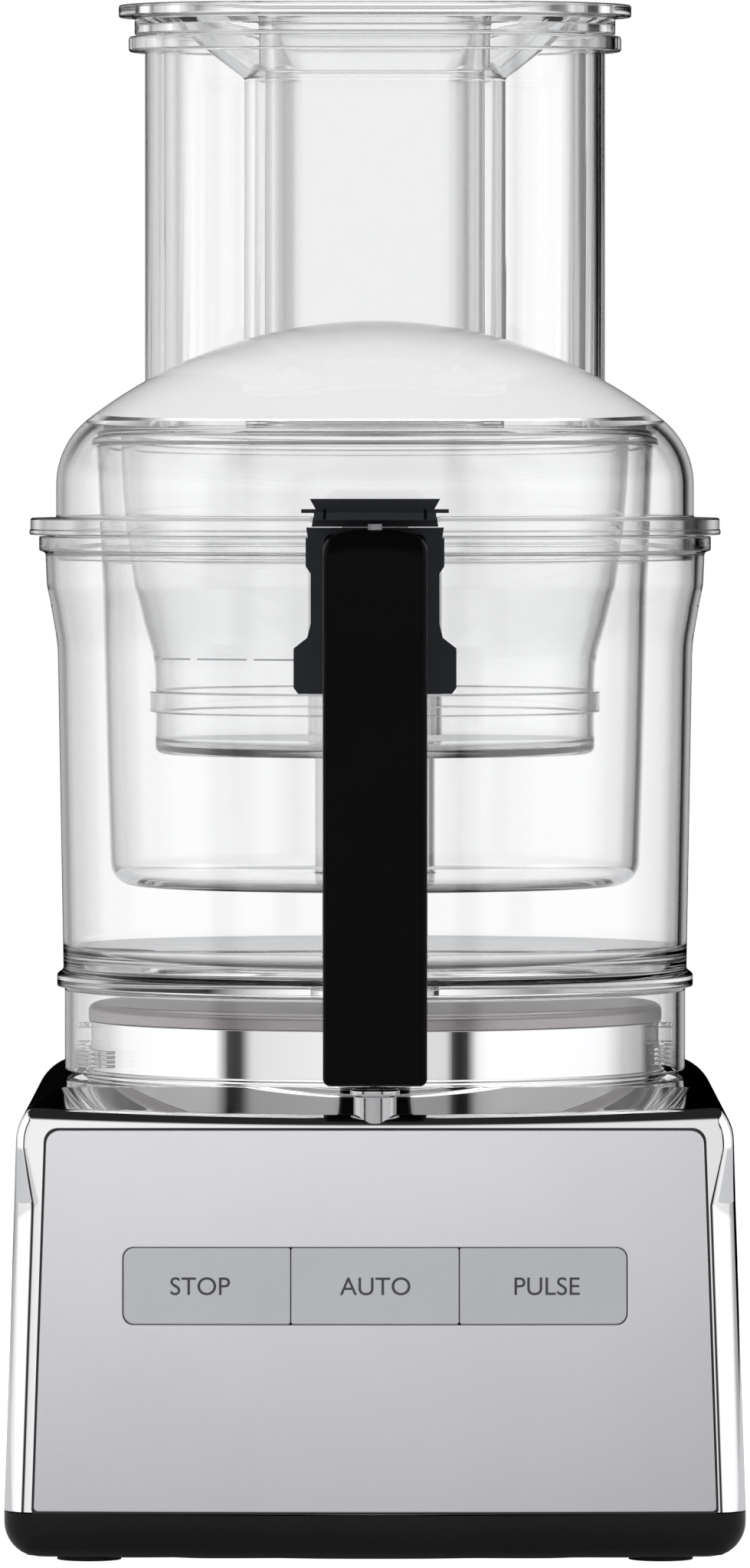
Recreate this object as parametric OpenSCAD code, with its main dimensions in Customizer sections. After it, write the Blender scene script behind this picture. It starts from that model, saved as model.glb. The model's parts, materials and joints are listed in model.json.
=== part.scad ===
// Food processor: motor base, three nested clear bowls, domed lid with a wide feed tube and two pushers.
// The origin is on the bowl axis, on the surface the feet stand on. The front faces -Y.

/* [Housing] */
// How far the housing's foot reaches beyond the bowl's wall on each side
housing_side = 9; // [6:0.1:14]
// How much narrower the housing is where the shoulders start
housing_taper = 6.8; // [0:0.1:10]
// How far the front face's foot stands before the handle
front_margin = 0.5; // [0.5:0.5:12]
// Height of the flat deck that the collar stands on
deck_z = 131.5; // [126:0.1:170]
// Height of the black tray under the housing
tray_h = 14.6; // [12:0.1:17]
// Radius of the rounded shoulders
shoulder_r = 14; // [8:0.5:22]
// Radius of the upright front corners
front_corner_r = 8; // [5:0.5:16]
// Radius of the upright back corners
back_corner_r = 22; // [8:0.5:30]
// Radius in plan of the bowed front
bow_r = 560; // [400:10:1200]
// Backward lean of the front, in degrees
front_lean = 3; // [0:0.5:5]
// Fall of the deck towards the front edge, in degrees
deck_fall = 9.7; // [4:0.1:12]
// Wall of the housing
housing_wall = 3; // [2.6:0.1:4]
// Wall of the tray
tray_wall = 2.4; // [2:0.1:3.5]
// Height of the feet below the tray
foot_h = 1.5; // [1:0.1:4]
// Radius of each foot
foot_r = 9; // [6:0.5:12]

/* [Front panel] */
// Distance of the panel's lower corners from the housing's sides
panel_side_foot = 7.6; // [6:0.1:12]
// Distance of the panel's upper corners from the housing's sides
panel_side_top = 7.8; // [6:0.1:12]
// Distance of the panel's top edge below the deck
panel_drop = 9.6; // [8:0.1:16]
// Thickness of the panel
panel_t = 1.4; // [1:0.1:1.6]
// Width of each button
button_w = 46.8; // [36:0.1:50]
// Height of each button
button_h = 21.3; // [14:0.1:26]
// Height of the buttons' centre line
button_z = 78.2; // [60:0.1:90]
// Travel of each button
button_travel = 1.2; // [0.5:0.1:1.5]

/* [Collar] */
// How far inside the bowl's wall the collar that carries it stands
collar_in = 12.3; // [11:0.1:16]
// Height of the collar above the deck, with its cap
collar_h = 20.5; // [16:0.1:22]
// Radius of the cap's rounded edge
cap_edge_r = 5; // [3:0.5:7]
// Wall of the collar
collar_wall = 2.4; // [2:0.1:3]
// Reach of the locking lugs beyond the collar
lug_reach = 3.5; // [2.5:0.1:3.6]
// Width and height of a locking lug
lug_size = 6.8; // [5:0.1:8]
// Gap between a lug's tip and the bowl's skirt
skirt_gap = 0.8; // [0.4:0.1:1.5]

/* [Main bowl] */
// Outer radius of the bowl under its rim
bowl_r = 94.6; // [88:0.1:120]
// How much smaller the bowl's radius is at its floor
bowl_draft = 5.1; // [3:0.1:6]
// Height of the bowl from its floor to its rim
bowl_h = 128.5; // [110:0.5:160]
// Reach of the rim beyond the wall
bowl_rim_reach = 1.8; // [1:0.1:2]
// Wall of the bowl
bowl_wall = 2.5; // [2:0.1:2.6]
// Wall of the tube in the middle of the bowl
bowl_tube_wall = 2.7; // [2:0.1:3.2]
// Distance of that tube's top below the bowl's rim
bowl_tube_drop = 7.8; // [6:0.1:20]

/* [Middle and small bowls] */
// How much smaller the middle bowl's rim is than the main bowl's
midi_in = 14.6; // [14:0.1:20]
// Height of the middle bowl's underside above the main bowl's
midi_floor_rise = 28.2; // [18:0.1:40]
// Height of the middle bowl's rim above the main bowl's
midi_rim_rise = 28.2; // [22:0.1:28.2]
// How much smaller the small bowl's rim is than the middle bowl's
mini_in = 7; // [5:0.5:12]
// How much smaller the small bowl's foot is than its rim
mini_draft = 9.9; // [9:0.1:14]
// Height of the small bowl's underside above the middle bowl's
mini_floor_rise = 37.8; // [25:0.1:50]
// Wall of the two bowls
inner_bowl_wall = 2; // [1.6:0.1:2.4]
// Wall of the tubes in the middle of the two bowls
inner_tube_wall = 1.6; // [1.4:0.1:1.8]

/* [Lid] */
// How much smaller the dome's foot is than the bowl's rim
dome_in = 3.1; // [2.6:0.1:3.3]
// Height of the dome's top above the bowl's rim
dome_rise = 61.8; // [58:0.1:75]
// Radius of the dome's shoulder in section
dome_shoulder_r = 24; // [18:0.5:30]
// Wall of the lid
lid_wall = 3; // [2.4:0.1:3]
// How far the lid's flange reaches beyond the bowl's wall
lid_reach = 4.3; // [3:0.1:4.8]

/* [Feed tube and pushers] */
// Width of the feed tube
tube_w = 133; // [120:1:134]
// Depth of the feed tube
tube_d = 70.8; // [60:0.5:72]
// Distance of the feed tube's centre behind the bowl axis
tube_y = 30; // [26:0.5:31]
// Height of the feed tube above the dome
tube_h = 82.4; // [60:0.1:110]
// Wall of the feed tube
tube_wall = 3; // [2.4:0.1:3.4]
// Reach of the feed tube's rim
tube_rim = 4.7; // [3:0.1:6]
// Gap between the large pusher and the feed tube
pusher_gap = 2.5; // [1:0.1:3.5]
// Wall of the large pusher
pusher_wall = 2.2; // [1.8:0.1:2.6]
// Inner width of the well in the large pusher
well_w = 69.2; // [50:0.5:74]
// Inner depth of the well in the large pusher
well_d = 39; // [30:0.5:42]
// Gap between the small pusher's collar and the well
small_gap = 0.6; // [0.4:0.1:1]

/* [Handle] */
// Width of the handle
handle_w = 29; // [24:0.5:34]
// Distance of the handle's front from the bowl's wall
handle_reach = 32.9; // [30:0.1:36]
// Thickness of the grip
grip_t = 17; // [14:0.5:18]
// Height of the handle's top above the bowl's rim
handle_rise = 1.5; // [0.5:0.1:2.5]
// Gap between the handle's underside and the level of the deck
handle_gap = 2.2; // [2:0.1:3]
// Travel of the safety rod in the handle
rod_travel = 3; // [2:0.5:3]
// Radius of the safety rod
rod_r = 2; // [1.5:0.1:2.3]

/* [Motor] */
// Side of the stator's square
stator_w = 100; // [80:1:110]
// Height of the stator's stack
stator_h = 44; // [30:1:46]
// Radius of the rotor
rotor_r = 30; // [20:0.5:34]
// Radius of the motor shaft
shaft_r = 6; // [5:0.5:7]
// Radius of the drive spindle inside the bowls
spindle_r = 11.5; // [10:0.1:14]
// Height of the drive spindle's top above the bowl's rim
spindle_rise = 6.2; // [4:0.1:9]

/* [Hidden] */
$fn = 72;
gap = 0.3; // between pieces that move past each other
snug = 0.1; // between pieces of one body that sit in each other
press = 0.02; // between the shaft and what is pressed on it
running = 0.03; // radial play of the shaft in its bearings
eps = 0.01;

inlet_reach = 3; // the inlet's flange behind the housing
spindle_gap = 1.1; // between the spindle and the bowls' tubes

half_foot = bowl_r + housing_side;
half_top = half_foot - housing_taper / 2;
handle_front = bowl_r + handle_reach;
housing_front = handle_front + front_margin;
housing_back = housing_front - inlet_reach; // keeps the bowl axis in the middle of the box
panel_half_foot = half_foot - panel_side_foot;
panel_half_top = half_top - panel_side_top;
panel_top_z = deck_z - panel_drop;
bow_centre_y = bow_r - housing_front;

collar_r = bowl_r - collar_in;
cap_z = deck_z + collar_h;
lug_z = deck_z + 7.8;
skirt_r = collar_r + lug_reach + skirt_gap + bowl_wall;
skirt_foot_z = deck_z + 1;
floor_z = cap_z + 5 + gap;
floor_t = 3;
bowl_foot_r = bowl_r - bowl_draft;
bowl_rim_z = floor_z + bowl_h;
bowl_tube_z = bowl_rim_z - bowl_tube_drop;
bowl_tube_bore = spindle_r + spindle_gap;
bowl_tube_r = bowl_tube_bore + bowl_tube_wall;

midi_r = bowl_r - midi_in;
midi_floor_z = floor_z + midi_floor_rise;
midi_rim_z = bowl_rim_z + midi_rim_rise;
mini_r = midi_r - mini_in;
mini_foot_r = mini_r - mini_draft;
mini_floor_z = midi_floor_z + mini_floor_rise;

dome_r = bowl_r - dome_in;
dome_top_z = bowl_rim_z + dome_rise;
lid_flange_r = bowl_r + lid_reach;
tube_top_z = dome_top_z + tube_h;
handle_top_z = bowl_rim_z + handle_rise;
handle_foot_z = deck_z + handle_gap;
spindle_top_z = bowl_rim_z + spindle_rise;

foot_x = half_foot - 23.6;
foot_y = housing_front - 28;
board_w = 2 * panel_half_top - 14.8;
board_h = 30;
board_screw_x = board_w / 2 - 5;
board_screw_z = board_h / 2 - 5;
capacitor_r = 16;
capacitor_x = stator_w / 2 + capacitor_r + 2.6;
switch_z = deck_z - 34.5;

tube_centre = [0, tube_y];
tube_foot_z = dome_top_z - 28.6;
pusher_w = tube_w - 2 * tube_wall - 2 * pusher_gap;
pusher_d = tube_d - 2 * tube_wall - 2 * pusher_gap;
pusher_foot_z = tube_foot_z + 2.6;
flange_z = tube_top_z + 5.4;
pusher_top_z = tube_top_z + 9;
well_corner_r = 14;
well_top_z = flange_z - 17;
ledge = 4;

rod_y = -handle_front + grip_t / 2 + 3;
rod_top_z = bowl_rim_z + 4.2;
boss_top_z = handle_foot_z - 0.5;
boss_stem_r = 4.5;
grip_back = handle_front - grip_t;
arm_back = lid_flange_r + 1.1;

bell_z = 30;
stack_z = 50;
stack_top_z = stack_z + stator_h;
bell_top_z = stack_top_z + 16;
plate_t = 4;
bolt_at = stator_w / 2 - 8;
bearing_r = 11;
bearing_h = 7;
screw_x = half_foot - 12.6;
screw_y = 70;

function arc(centre, r, from, to, n = 12) =
    [for (i = [0:n]) let (a = from + (to - from) * i / n) centre + r * [cos(a), sin(a)]];
function deck_at(y) = deck_z - max(0, -y - collar_r - 1.7) * tan(deck_fall);

module disc(r, z0, z1) translate([0, 0, z0]) cylinder(r = r, h = z1 - z0);

module pipe(r, bore, z0, z1) {
    difference() {
        disc(r, z0, z1);
        disc(bore, z0 - 1, z1 + 1);
    }
}

module block(low, high) translate(low) cube(high - low);

module rounded_rect(w, d, r) {
    square([w - 2 * r, d], center = true);
    square([w, d - 2 * r], center = true);
    for (x = [-1, 1], y = [-1, 1]) translate([x * (w / 2 - r), y * (d / 2 - r)]) circle(r = r);
}

module oval(w, d, z0, z1, r = undef) {
    translate([tube_centre[0], tube_centre[1], z0])
        linear_extrude(z1 - z0) rounded_rect(w, d, is_undef(r) ? d / 2 - eps : r);
}

module at_corners(x, y) {
    for (i = [-1, 1], j = [-1, 1]) translate([i * x, j * y, 0]) children();
}

// A closed coil spring, swept round the Z axis.
module coil(r, wire, z0, z1, turns) {
    steps = 12;
    sides = 8;
    rings = turns * steps;
    points = [for (i = [0:rings], k = [0:sides - 1])
        let (a = 360 * i / steps, b = 360 * k / sides, z = z0 + wire + (z1 - z0 - 2 * wire) * i / rings)
        [(r + wire * cos(b)) * cos(a), (r + wire * cos(b)) * sin(a), z + wire * sin(b)]];
    walls = [for (i = [0:rings - 1], k = [0:sides - 1])
        let (next = (k + 1) % sides)
        [i * sides + k, (i + 1) * sides + k, (i + 1) * sides + next, i * sides + next]];
    first = [for (k = [0:sides - 1]) k];
    last = [for (k = [sides - 1:-1:0]) rings * sides + k];
    polyhedron(points, concat(walls, [first, last]), convexity = 10);
}

// ---- Outlines of the base

// Plan of the bowed front with its rounded upright corners, cut back by inset all round.
module front_plan(inset) {
    corner = front_corner_r - inset;
    x = half_foot - front_corner_r;
    y = bow_centre_y - sqrt(pow(bow_r - front_corner_r, 2) - x * x);
    intersection() {
        translate([0, bow_centre_y]) circle(r = bow_r - inset, $fn = 360);
        translate([-x, -housing_front - 1]) square([2 * x, 140]);
    }
    translate([-x - corner, y]) square([2 * (x + corner), 300]);
    for (side = [-1, 1]) translate([side * x, y]) circle(r = corner);
}

module back_plan(inset) {
    translate([0, housing_back - inset - 150])
        rounded_rect(2 * (half_foot - inset), 300, back_corner_r - inset);
}

module front_outline(inset) {
    shoulder_z = deck_z - shoulder_r;
    x = half_top - shoulder_r;
    polygon([
        [-half_foot + inset, tray_h - 1], [half_foot - inset, tray_h - 1],
        [half_top - inset, shoulder_z], [-half_top + inset, shoulder_z],
    ]);
    translate([-x, shoulder_z - 1]) square([2 * x, shoulder_r + 1 - inset]);
    for (side = [-1, 1]) translate([side * x, shoulder_z]) circle(r = shoulder_r - inset);
}

module side_outline(inset) {
    y = housing_back - shoulder_r;
    fall_y = -collar_r - 1.7;
    low_y = -housing_front - 12;
    polygon([
        [low_y, tray_h - 1], [housing_back - inset, tray_h - 1], [housing_back - inset, deck_z - shoulder_r],
        [y, deck_z - shoulder_r], [y, deck_z - inset], [fall_y, deck_z - inset],
        [low_y, deck_at(low_y) - inset],
    ]);
    translate([y, deck_z - shoulder_r]) circle(r = shoulder_r - inset);
}

module housing_block(inset, z0) {
    intersection() {
        on_front() translate([0, housing_front, -40]) linear_extrude(220) front_plan(inset);
        translate([0, 0, z0]) linear_extrude(150) back_plan(inset);
        rotate([90, 0, 0]) linear_extrude(320, center = true) front_outline(inset);
        rotate([90, 0, 90]) linear_extrude(320, center = true) side_outline(inset);
    }
}

// The leaning frame of the front face: X across, Y into the housing, Z up the face.
module on_front() translate([0, -housing_front, tray_h]) rotate([-front_lean, 0, 0]) children();

module through_front(depth = 60) rotate([90, 0, 0]) linear_extrude(depth, center = true) children();

module bowed_slab(out, thick) {
    translate([0, bow_r, -10]) difference() {
        cylinder(r = bow_r + out, h = 150, $fn = 360);
        translate([0, 0, -1]) cylinder(r = bow_r + out - thick, h = 152, $fn = 360);
    }
}

module panel_outline(grow) {
    top = panel_top_z - tray_h + grow;
    r = 4;
    half = panel_half_top + grow;
    polygon(concat(
        [[-panel_half_foot - grow, 1 - grow], [panel_half_foot + grow, 1 - grow]],
        arc([half - r, top - r], r, 0, 90, 6),
        arc([-half + r, top - r], r, 90, 180, 6)));
}

module buttons_outline(grow) {
    translate([0, button_z - tray_h])
        rounded_rect(3 * button_w + 4 * snug + 2 * grow, button_h + 2 * grow, 3);
}

// ---- Base

module housing_shell() color("silver") {
    difference() {
        housing_block(0, tray_h);
        difference() {
            housing_block(housing_wall, tray_h - 1);
            screw_columns();
            on_front() for (x = [-board_screw_x, board_screw_x], z = [-board_screw_z, board_screw_z])
                translate([x, 6, button_z - tray_h + z]) rotate([-90, 0, 0]) cylinder(r = 3, h = 7);
        }
        on_front() intersection() {
            bowed_slab(1, 1 + panel_t + 2 * snug);
            through_front() panel_outline(snug);
        }
        on_front() through_front() buttons_outline(2);
        disc(collar_r - collar_wall - 1, deck_z - 10, deck_z + 1);
        translate([0, rod_y, 0]) disc(boss_stem_r + snug, deck_z - 22, deck_z + 5);
        at_corners(screw_x, screw_y) disc(1.5, tray_h - 1, tray_h + 20);
        on_front() for (x = [-board_screw_x, board_screw_x], z = [-board_screw_z, board_screw_z])
            translate([x, 8, button_z - tray_h + z]) rotate([-90, 0, 0]) cylinder(r = 1.25, h = 8);
        inlet_hole();
        for (i = [-4:4])
            block([i * 9 - 2, housing_back - 8, deck_z - 53.5], [i * 9 + 2, housing_back + 2, deck_z - 23.5]);
    }
}

module screw_columns() {
    at_corners(screw_x, screw_y) {
        disc(5, tray_h + 5, tray_h + 40);
        for (side = [-1, 1]) block([-0.5, -2, tray_h + 5], [0.5, 2, tray_h + 40]);
    }
    for (side = [-1, 1], y = [-screw_y, screw_y])
        translate([side * (screw_x + 6), y, 0]) block([-6, -2, tray_h + 5], [6, 2, tray_h + 40]);
}

module inlet_hole() {
    translate([-60, housing_back, 34]) rotate([90, 0, 0]) cylinder(r = 6, h = 20, center = true);
}

module power_inlet() color("dimgray") {
    translate([-60, housing_back, 34]) rotate([-90, 0, 0]) difference() {
        union() {
            translate([0, 0, -14]) cylinder(r = 6 - snug, h = 14);
            cylinder(r = 9, h = inlet_reach);
            translate([0, 0, -14]) cylinder(r = 8, h = 14 - housing_wall - snug);
        }
        translate([0, 0, -15]) cylinder(r = 3.5, h = 30);
    }
}

module front_panel() color("gainsboro") {
    on_front() difference() {
        intersection() {
            bowed_slab(-snug, panel_t);
            through_front() panel_outline(0);
        }
        through_front() buttons_outline(snug);
    }
}

module button(index) {
    x = (index - 1) * (button_w + snug);
    ends = [index == 0 ? 1 : 0, index == 2 ? 1 : 0]; // the outer keys reach the window's rounded ends
    on_front() {
        intersection() {
            bowed_slab(-snug, 2.6);
            through_front() intersection() {
                buttons_outline(-snug);
                translate([x - button_w / 2 - ends[0], 0]) square([button_w + ends[0] + ends[1], 200]);
            }
        }
        translate([x, 5.25, button_z - tray_h]) cube([8, 5.5, 8], center = true);
    }
}

module stop_button() color("darkgray") button(0);
module auto_button() color("darkgray") button(1);
module pulse_button() color("darkgray") button(2);

module control_board() color("seagreen") {
    on_front() translate([0, 13, button_z - tray_h]) difference() {
        rotate([-90, 0, 0]) linear_extrude(1.6) rounded_rect(board_w, board_h, 3);
        for (x = [-board_screw_x, board_screw_x], z = [-board_screw_z, board_screw_z])
            translate([x, -1, z]) rotate([-90, 0, 0]) cylinder(r = 1.6, h = 4);
    }
}

module button_switches() color("black") {
    on_front() for (i = [-1:1])
        translate([i * (button_w + snug), 0, button_z - tray_h]) {
            translate([-3.2, 10.6, -3.2]) cube([6.4, 2.4, 6.4]);
            translate([0, 8 + button_travel + gap, 0]) rotate([-90, 0, 0]) cylinder(r = 1.6, h = 1.2);
        }
}

module board_screws() color("silver") {
    on_front() for (x = [-board_screw_x, board_screw_x], z = [-board_screw_z, board_screw_z])
        translate([x, 9, button_z - tray_h + z]) rotate([-90, 0, 0]) {
            cylinder(r = 1.2, h = 6);
            translate([0, 0, 5.6]) cylinder(r = 2.6, h = 1.8);
        }
}

module tray_block(inset, z0, z1) {
    x = half_foot - inset;
    front = housing_front - inset;
    back = housing_back - inset;
    intersection() {
        translate([0, 0, z0]) linear_extrude(z1 - z0) intersection() {
            front_plan(inset);
            back_plan(inset);
        }
        rotate([90, 0, 0]) linear_extrude(320, center = true) polygon([
            [-x + 9, foot_h], [x - 9, foot_h], [x - 3.6, foot_h + 3.5], [x - 0.6, foot_h + 9],
            [x, tray_h + 5], [-x, tray_h + 5], [-x + 0.6, foot_h + 9], [-x + 3.6, foot_h + 3.5],
        ]);
        rotate([90, 0, 90]) linear_extrude(320, center = true) polygon([
            [-front + 9, foot_h], [back - 9, foot_h], [back - 3.6, foot_h + 3.5], [back - 0.6, foot_h + 9],
            [back, tray_h + 5], [-front, tray_h + 5], [-front + 0.6, foot_h + 9],
            [-front + 3.6, foot_h + 3.5],
        ]);
    }
}

module base_tray() color("black") {
    floor_top = foot_h + tray_wall;
    difference() {
        tray_block(0, foot_h, tray_h);
        difference() {
            tray_block(tray_wall, floor_top, tray_h + 1);
            at_corners(screw_x, screw_y) disc(5, 0, tray_h);
            at_corners(bolt_at, bolt_at) disc(2.5, 0, tray_h);
        }
        at_corners(screw_x, screw_y) disc(1.6, 0, tray_h + 2);
        at_corners(screw_x, screw_y) disc(4, 0, foot_h + 3);
        at_corners(foot_x, foot_y) disc(3 + snug / 2, 0, tray_h);
        for (i = [-5:5]) block([i * 7 - 1.5, -32, 0], [i * 7 + 1.5, 32, floor_top + 1]);
    }
    at_corners(bolt_at, bolt_at) disc(2.5, floor_top - 1, bell_z + 3);
}

module rubber_feet() color("dimgray") {
    at_corners(foot_x, foot_y) {
        disc(foot_r, 0, foot_h);
        disc(3, foot_h - eps, foot_h + tray_wall + 2);
    }
}

module base_screws() color("silver") {
    at_corners(screw_x, screw_y) {
        disc(3.6, foot_h + 0.8, foot_h + 3);
        disc(1.4, foot_h + 2.9, tray_h + 16);
    }
}

module collar() color("silver") {
    difference() {
        pipe(collar_r, collar_r - collar_wall, deck_z, cap_z - cap_edge_r);
        for (side = [-1, 1]) translate([side * collar_r, 0, lug_z + lug_size / 2])
            cube([20, lug_size + 2 * snug, lug_size + 2 * snug], center = true);
    }
    pipe(collar_r - collar_wall - 1 - snug, collar_r - 2 * collar_wall - 1.5, deck_z - 6, deck_z + 4);
    pipe(collar_r - collar_wall + eps, collar_r - 2 * collar_wall - 1.5, deck_z + eps, deck_z + 4);
}

module collar_cap() color("rosybrown") {
    centre = [collar_r - cap_edge_r, cap_z - cap_edge_r];
    inner = cap_edge_r - collar_wall;
    rotate_extrude() polygon(concat(
        [[9, cap_z - collar_wall], [9, cap_z]],
        arc(centre, cap_edge_r, 90, 0, 8),
        arc(centre, inner, 0, 90, 8)));
}

module locking_lugs() color("silver") {
    for (side = [-1, 1]) translate([side * (collar_r + lug_reach), 0, lug_z + lug_size / 2])
        rotate([0, -side * 90, 0]) {
            linear_extrude(lug_reach + 4) rounded_rect(lug_size, lug_size, 1.8);
            translate([0, 0, lug_reach + collar_wall + 0.4])
                linear_extrude(2) rounded_rect(lug_size + 1, lug_size + 4, 1.8);
        }
}

module shaft_seal() color("black") {
    pipe(9 - snug / 2, shaft_r + 0.15, cap_z - 4, cap_z + 1);
    pipe(12, 9 - snug, cap_z - collar_wall - 2, cap_z - collar_wall - 0.05);
}

module interlock_boss() color("silver") {
    low = deck_at(rod_y - 7);
    translate([0, rod_y, 0]) {
        difference() {
            union() {
                rotate_extrude() polygon([
                    [0, low + 2.6], [5.7, low + 2.6], [7, boss_top_z - 1.4], [6.6, boss_top_z],
                    [0, boss_top_z],
                ]);
                disc(boss_stem_r, low - 9, low + 3);
            }
            disc(rod_r + 0.5, low - 12, boss_top_z + 1);
        }
    }
}

module interlock_plunger() color("dimgray") {
    translate([0, rod_y, 0]) {
        disc(rod_r + 0.2, deck_z - 21.5, boss_top_z - 0.2);
        disc(3.3, deck_z - 18.5, deck_z - 17);
    }
}

module plunger_spring() color("silver") {
    translate([0, rod_y, 0]) coil(2.9, 0.35, deck_z - 24.5, deck_z - 18.6, 4);
}

module safety_switch() color("black") {
    translate([0, rod_y, 0]) {
        difference() {
            block([-10, -3, switch_z], [10, 7, deck_z - 26]);
            for (x = [-5, 5]) translate([x, 0, switch_z + 3])
                rotate([90, 0, 0]) cylinder(r = 1.3, h = 30, center = true);
        }
        disc(1.5, deck_z - 26.2, deck_z - 21.5 - rod_travel - gap);
    }
}

module switch_bracket() color("lightgray") {
    under = deck_at(rod_y) - housing_wall - 0.8;
    translate([0, rod_y, 0]) {
        block([-14, -3, switch_z - 3], [14, 7, switch_z - eps]);
        for (side = [-1, 1]) block([side * 12 - 1.6, -3, switch_z - 3], [side * 12 + 1.6, 7, under]);
    }
}

// ---- Motor

module motor_plate(z0, holes) {
    translate([0, 0, z0]) linear_extrude(plate_t) difference() {
        rounded_rect(stator_w, stator_w, 12);
        at_corners(bolt_at, bolt_at) circle(r = holes);
        circle(r = shaft_r + 1);
        for (i = [0:7]) rotate(i * 45) translate([32, 0]) circle(r = 7);
    }
}

module motor_lower_bell() color("lightgray") {
    motor_plate(bell_z, 2.5 + snug);
    pipe(15, bearing_r, bell_z + plate_t - eps, bell_z + plate_t + bearing_h + 1);
    difference() {
        at_corners(bolt_at, bolt_at) disc(7, bell_z + plate_t - eps, stack_z);
        at_corners(bolt_at, bolt_at) disc(2 + snug, bell_z + plate_t + 2, stack_z + 1);
    }
}

module motor_upper_bell() color("lightgray") {
    motor_plate(bell_top_z, 2 + snug);
    pipe(15, bearing_r, bell_top_z - bearing_h - 1, bell_top_z + eps);
    at_corners(bolt_at, bolt_at) pipe(7, 2 + snug, stack_top_z, bell_top_z + eps);
}

module motor_stator() color("slategray") {
    translate([0, 0, stack_z]) linear_extrude(stator_h) difference() {
        rounded_rect(stator_w, stator_w, 12);
        circle(r = rotor_r + 0.5);
        at_corners(bolt_at, bolt_at) circle(r = 2 + snug);
        for (i = [0:11]) rotate(i * 30) translate([rotor_r + 6, 0]) square([8, 4], center = true);
    }
}

module motor_windings() color("peru") {
    for (z = [stack_z - 10, stack_top_z]) pipe(47, rotor_r + 2.5, z, z + 10);
    for (i = [0:11]) rotate(i * 30) translate([rotor_r + 6, 0, stack_z - 1])
        linear_extrude(stator_h + 2) square([8 - 2 * snug, 4 - 2 * snug], center = true);
}

module motor_bolts() color("silver") {
    at_corners(bolt_at, bolt_at) {
        disc(2, bell_z + plate_t + 3, bell_top_z + plate_t + 1);
        disc(4, bell_top_z + plate_t, bell_top_z + plate_t + 3.5);
    }
}

module motor_mounts() color("black") {
    at_corners(bolt_at, bolt_at) difference() {
        disc(7, foot_h + tray_wall, bell_z);
        disc(2.5 + snug, 0, bell_z + 1);
    }
}

module bearing(z0) {
    pipe(bearing_r, bearing_r - 1.6, z0, z0 + bearing_h);
    pipe(bearing_r - 1.5, shaft_r + 1.4, z0 + 0.6, z0 + bearing_h - 0.6);
    pipe(shaft_r + 1.5, shaft_r + running, z0, z0 + bearing_h);
}

module lower_bearing() color("silver") bearing(bell_z + plate_t);
module upper_bearing() color("silver") bearing(bell_top_z - bearing_h);

module motor_rotor() color("gray") {
    pipe(rotor_r, shaft_r + press, stack_z + 2, stack_top_z - 2);
    for (z = [stack_z - 2, stack_top_z - 2.1]) pipe(rotor_r - 2, rotor_r - 9, z, z + 4.1);
}

module motor_shaft() color("silver") disc(shaft_r, 21, cap_z + 15);

module cooling_fan() color("white") {
    pipe(9, shaft_r + press, 21, 29);
    pipe(40, 8.9, 21, 22.4);
    for (i = [0:9]) rotate(i * 36) block([8.5, -0.8, 22.3], [39, 0.8, 28.5]);
}

module run_capacitor() color("white") {
    foot_z = foot_h + tray_wall;
    translate([capacitor_x, -40, 0]) {
        disc(capacitor_r, foot_z + 12, foot_z + 74);
        for (x = [-5, 5]) translate([x, 0, 0]) disc(1.2, foot_z + 73.9, foot_z + 80);
        pipe(capacitor_r + 1.6, capacitor_r, foot_z, 50);
        disc(capacitor_r + 1, foot_z, foot_z + 12);
    }
}

module drive_spindle() color("whitesmoke") {
    z0 = cap_z + 1.6;
    difference() {
        union() {
            disc(spindle_r, z0, spindle_top_z - 8);
            rotate_extrude() polygon(concat(
                [[0, spindle_top_z - 9], [spindle_r - 2, spindle_top_z - 9],
                 [spindle_r - 2, spindle_top_z - 3]],
                arc([spindle_r - 5, spindle_top_z - 3], 3, 0, 90, 6), [[0, spindle_top_z]]));
        }
        disc(shaft_r + press, z0 - 1, cap_z + 15.5);
        for (side = [-1, 1]) translate([side * (spindle_r + 1.2), 0, spindle_top_z - 24])
            cube([6, 30, 60], center = true);
    }
}

// ---- Main bowl and handle

function bowl_outer() = [
    [skirt_r, skirt_foot_z], [skirt_r, floor_z - 1], [bowl_foot_r + 1.8, floor_z - 0.6],
    [bowl_foot_r + 1.8, floor_z + 2.8], [bowl_foot_r, floor_z + 4], [bowl_foot_r + 1, bowl_rim_z - 66],
    [bowl_foot_r + 1.6, bowl_rim_z - 31], [bowl_r - 1.6, bowl_rim_z - 20], [bowl_r - 0.4, bowl_rim_z - 14],
    [bowl_r, bowl_rim_z - 5], [bowl_r + bowl_rim_reach, bowl_rim_z - 4],
    [bowl_r + bowl_rim_reach, bowl_rim_z],
];

module main_bowl() color("lightcyan", 0.4) {
    inside = [for (p = [8:-1:5]) bowl_outer()[p] - [bowl_wall, 0]];
    tube_bore = bowl_tube_bore;
    difference() {
        union() {
            rotate_extrude() polygon(concat(
                bowl_outer(),
                [[bowl_r - bowl_wall, bowl_rim_z]],
                inside,
                [[bowl_foot_r - bowl_wall, floor_z + floor_t + 6],
                 [bowl_foot_r - bowl_wall - 5, floor_z + floor_t],
                 [tube_bore + 1, floor_z + floor_t], [tube_bore + 1, floor_z],
                 [skirt_r - bowl_wall, floor_z], [skirt_r - bowl_wall, skirt_foot_z]]));
            pipe(bowl_tube_r, tube_bore, floor_z, bowl_tube_z);
            for (side = [0, 180]) rotate(side) bayonet_ramp();
            front_block(9, bowl_rim_z - 23, bowl_rim_z - 8, arm_back - 0.2, 93);
            front_block(16, floor_z - 1, floor_z + 7, bowl_foot_r + 5, bowl_foot_r - 1);
        }
    }
}

module front_block(half, z0, z1, front, back) block([-half, -front, z0], [half, -back, z1]);

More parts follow.
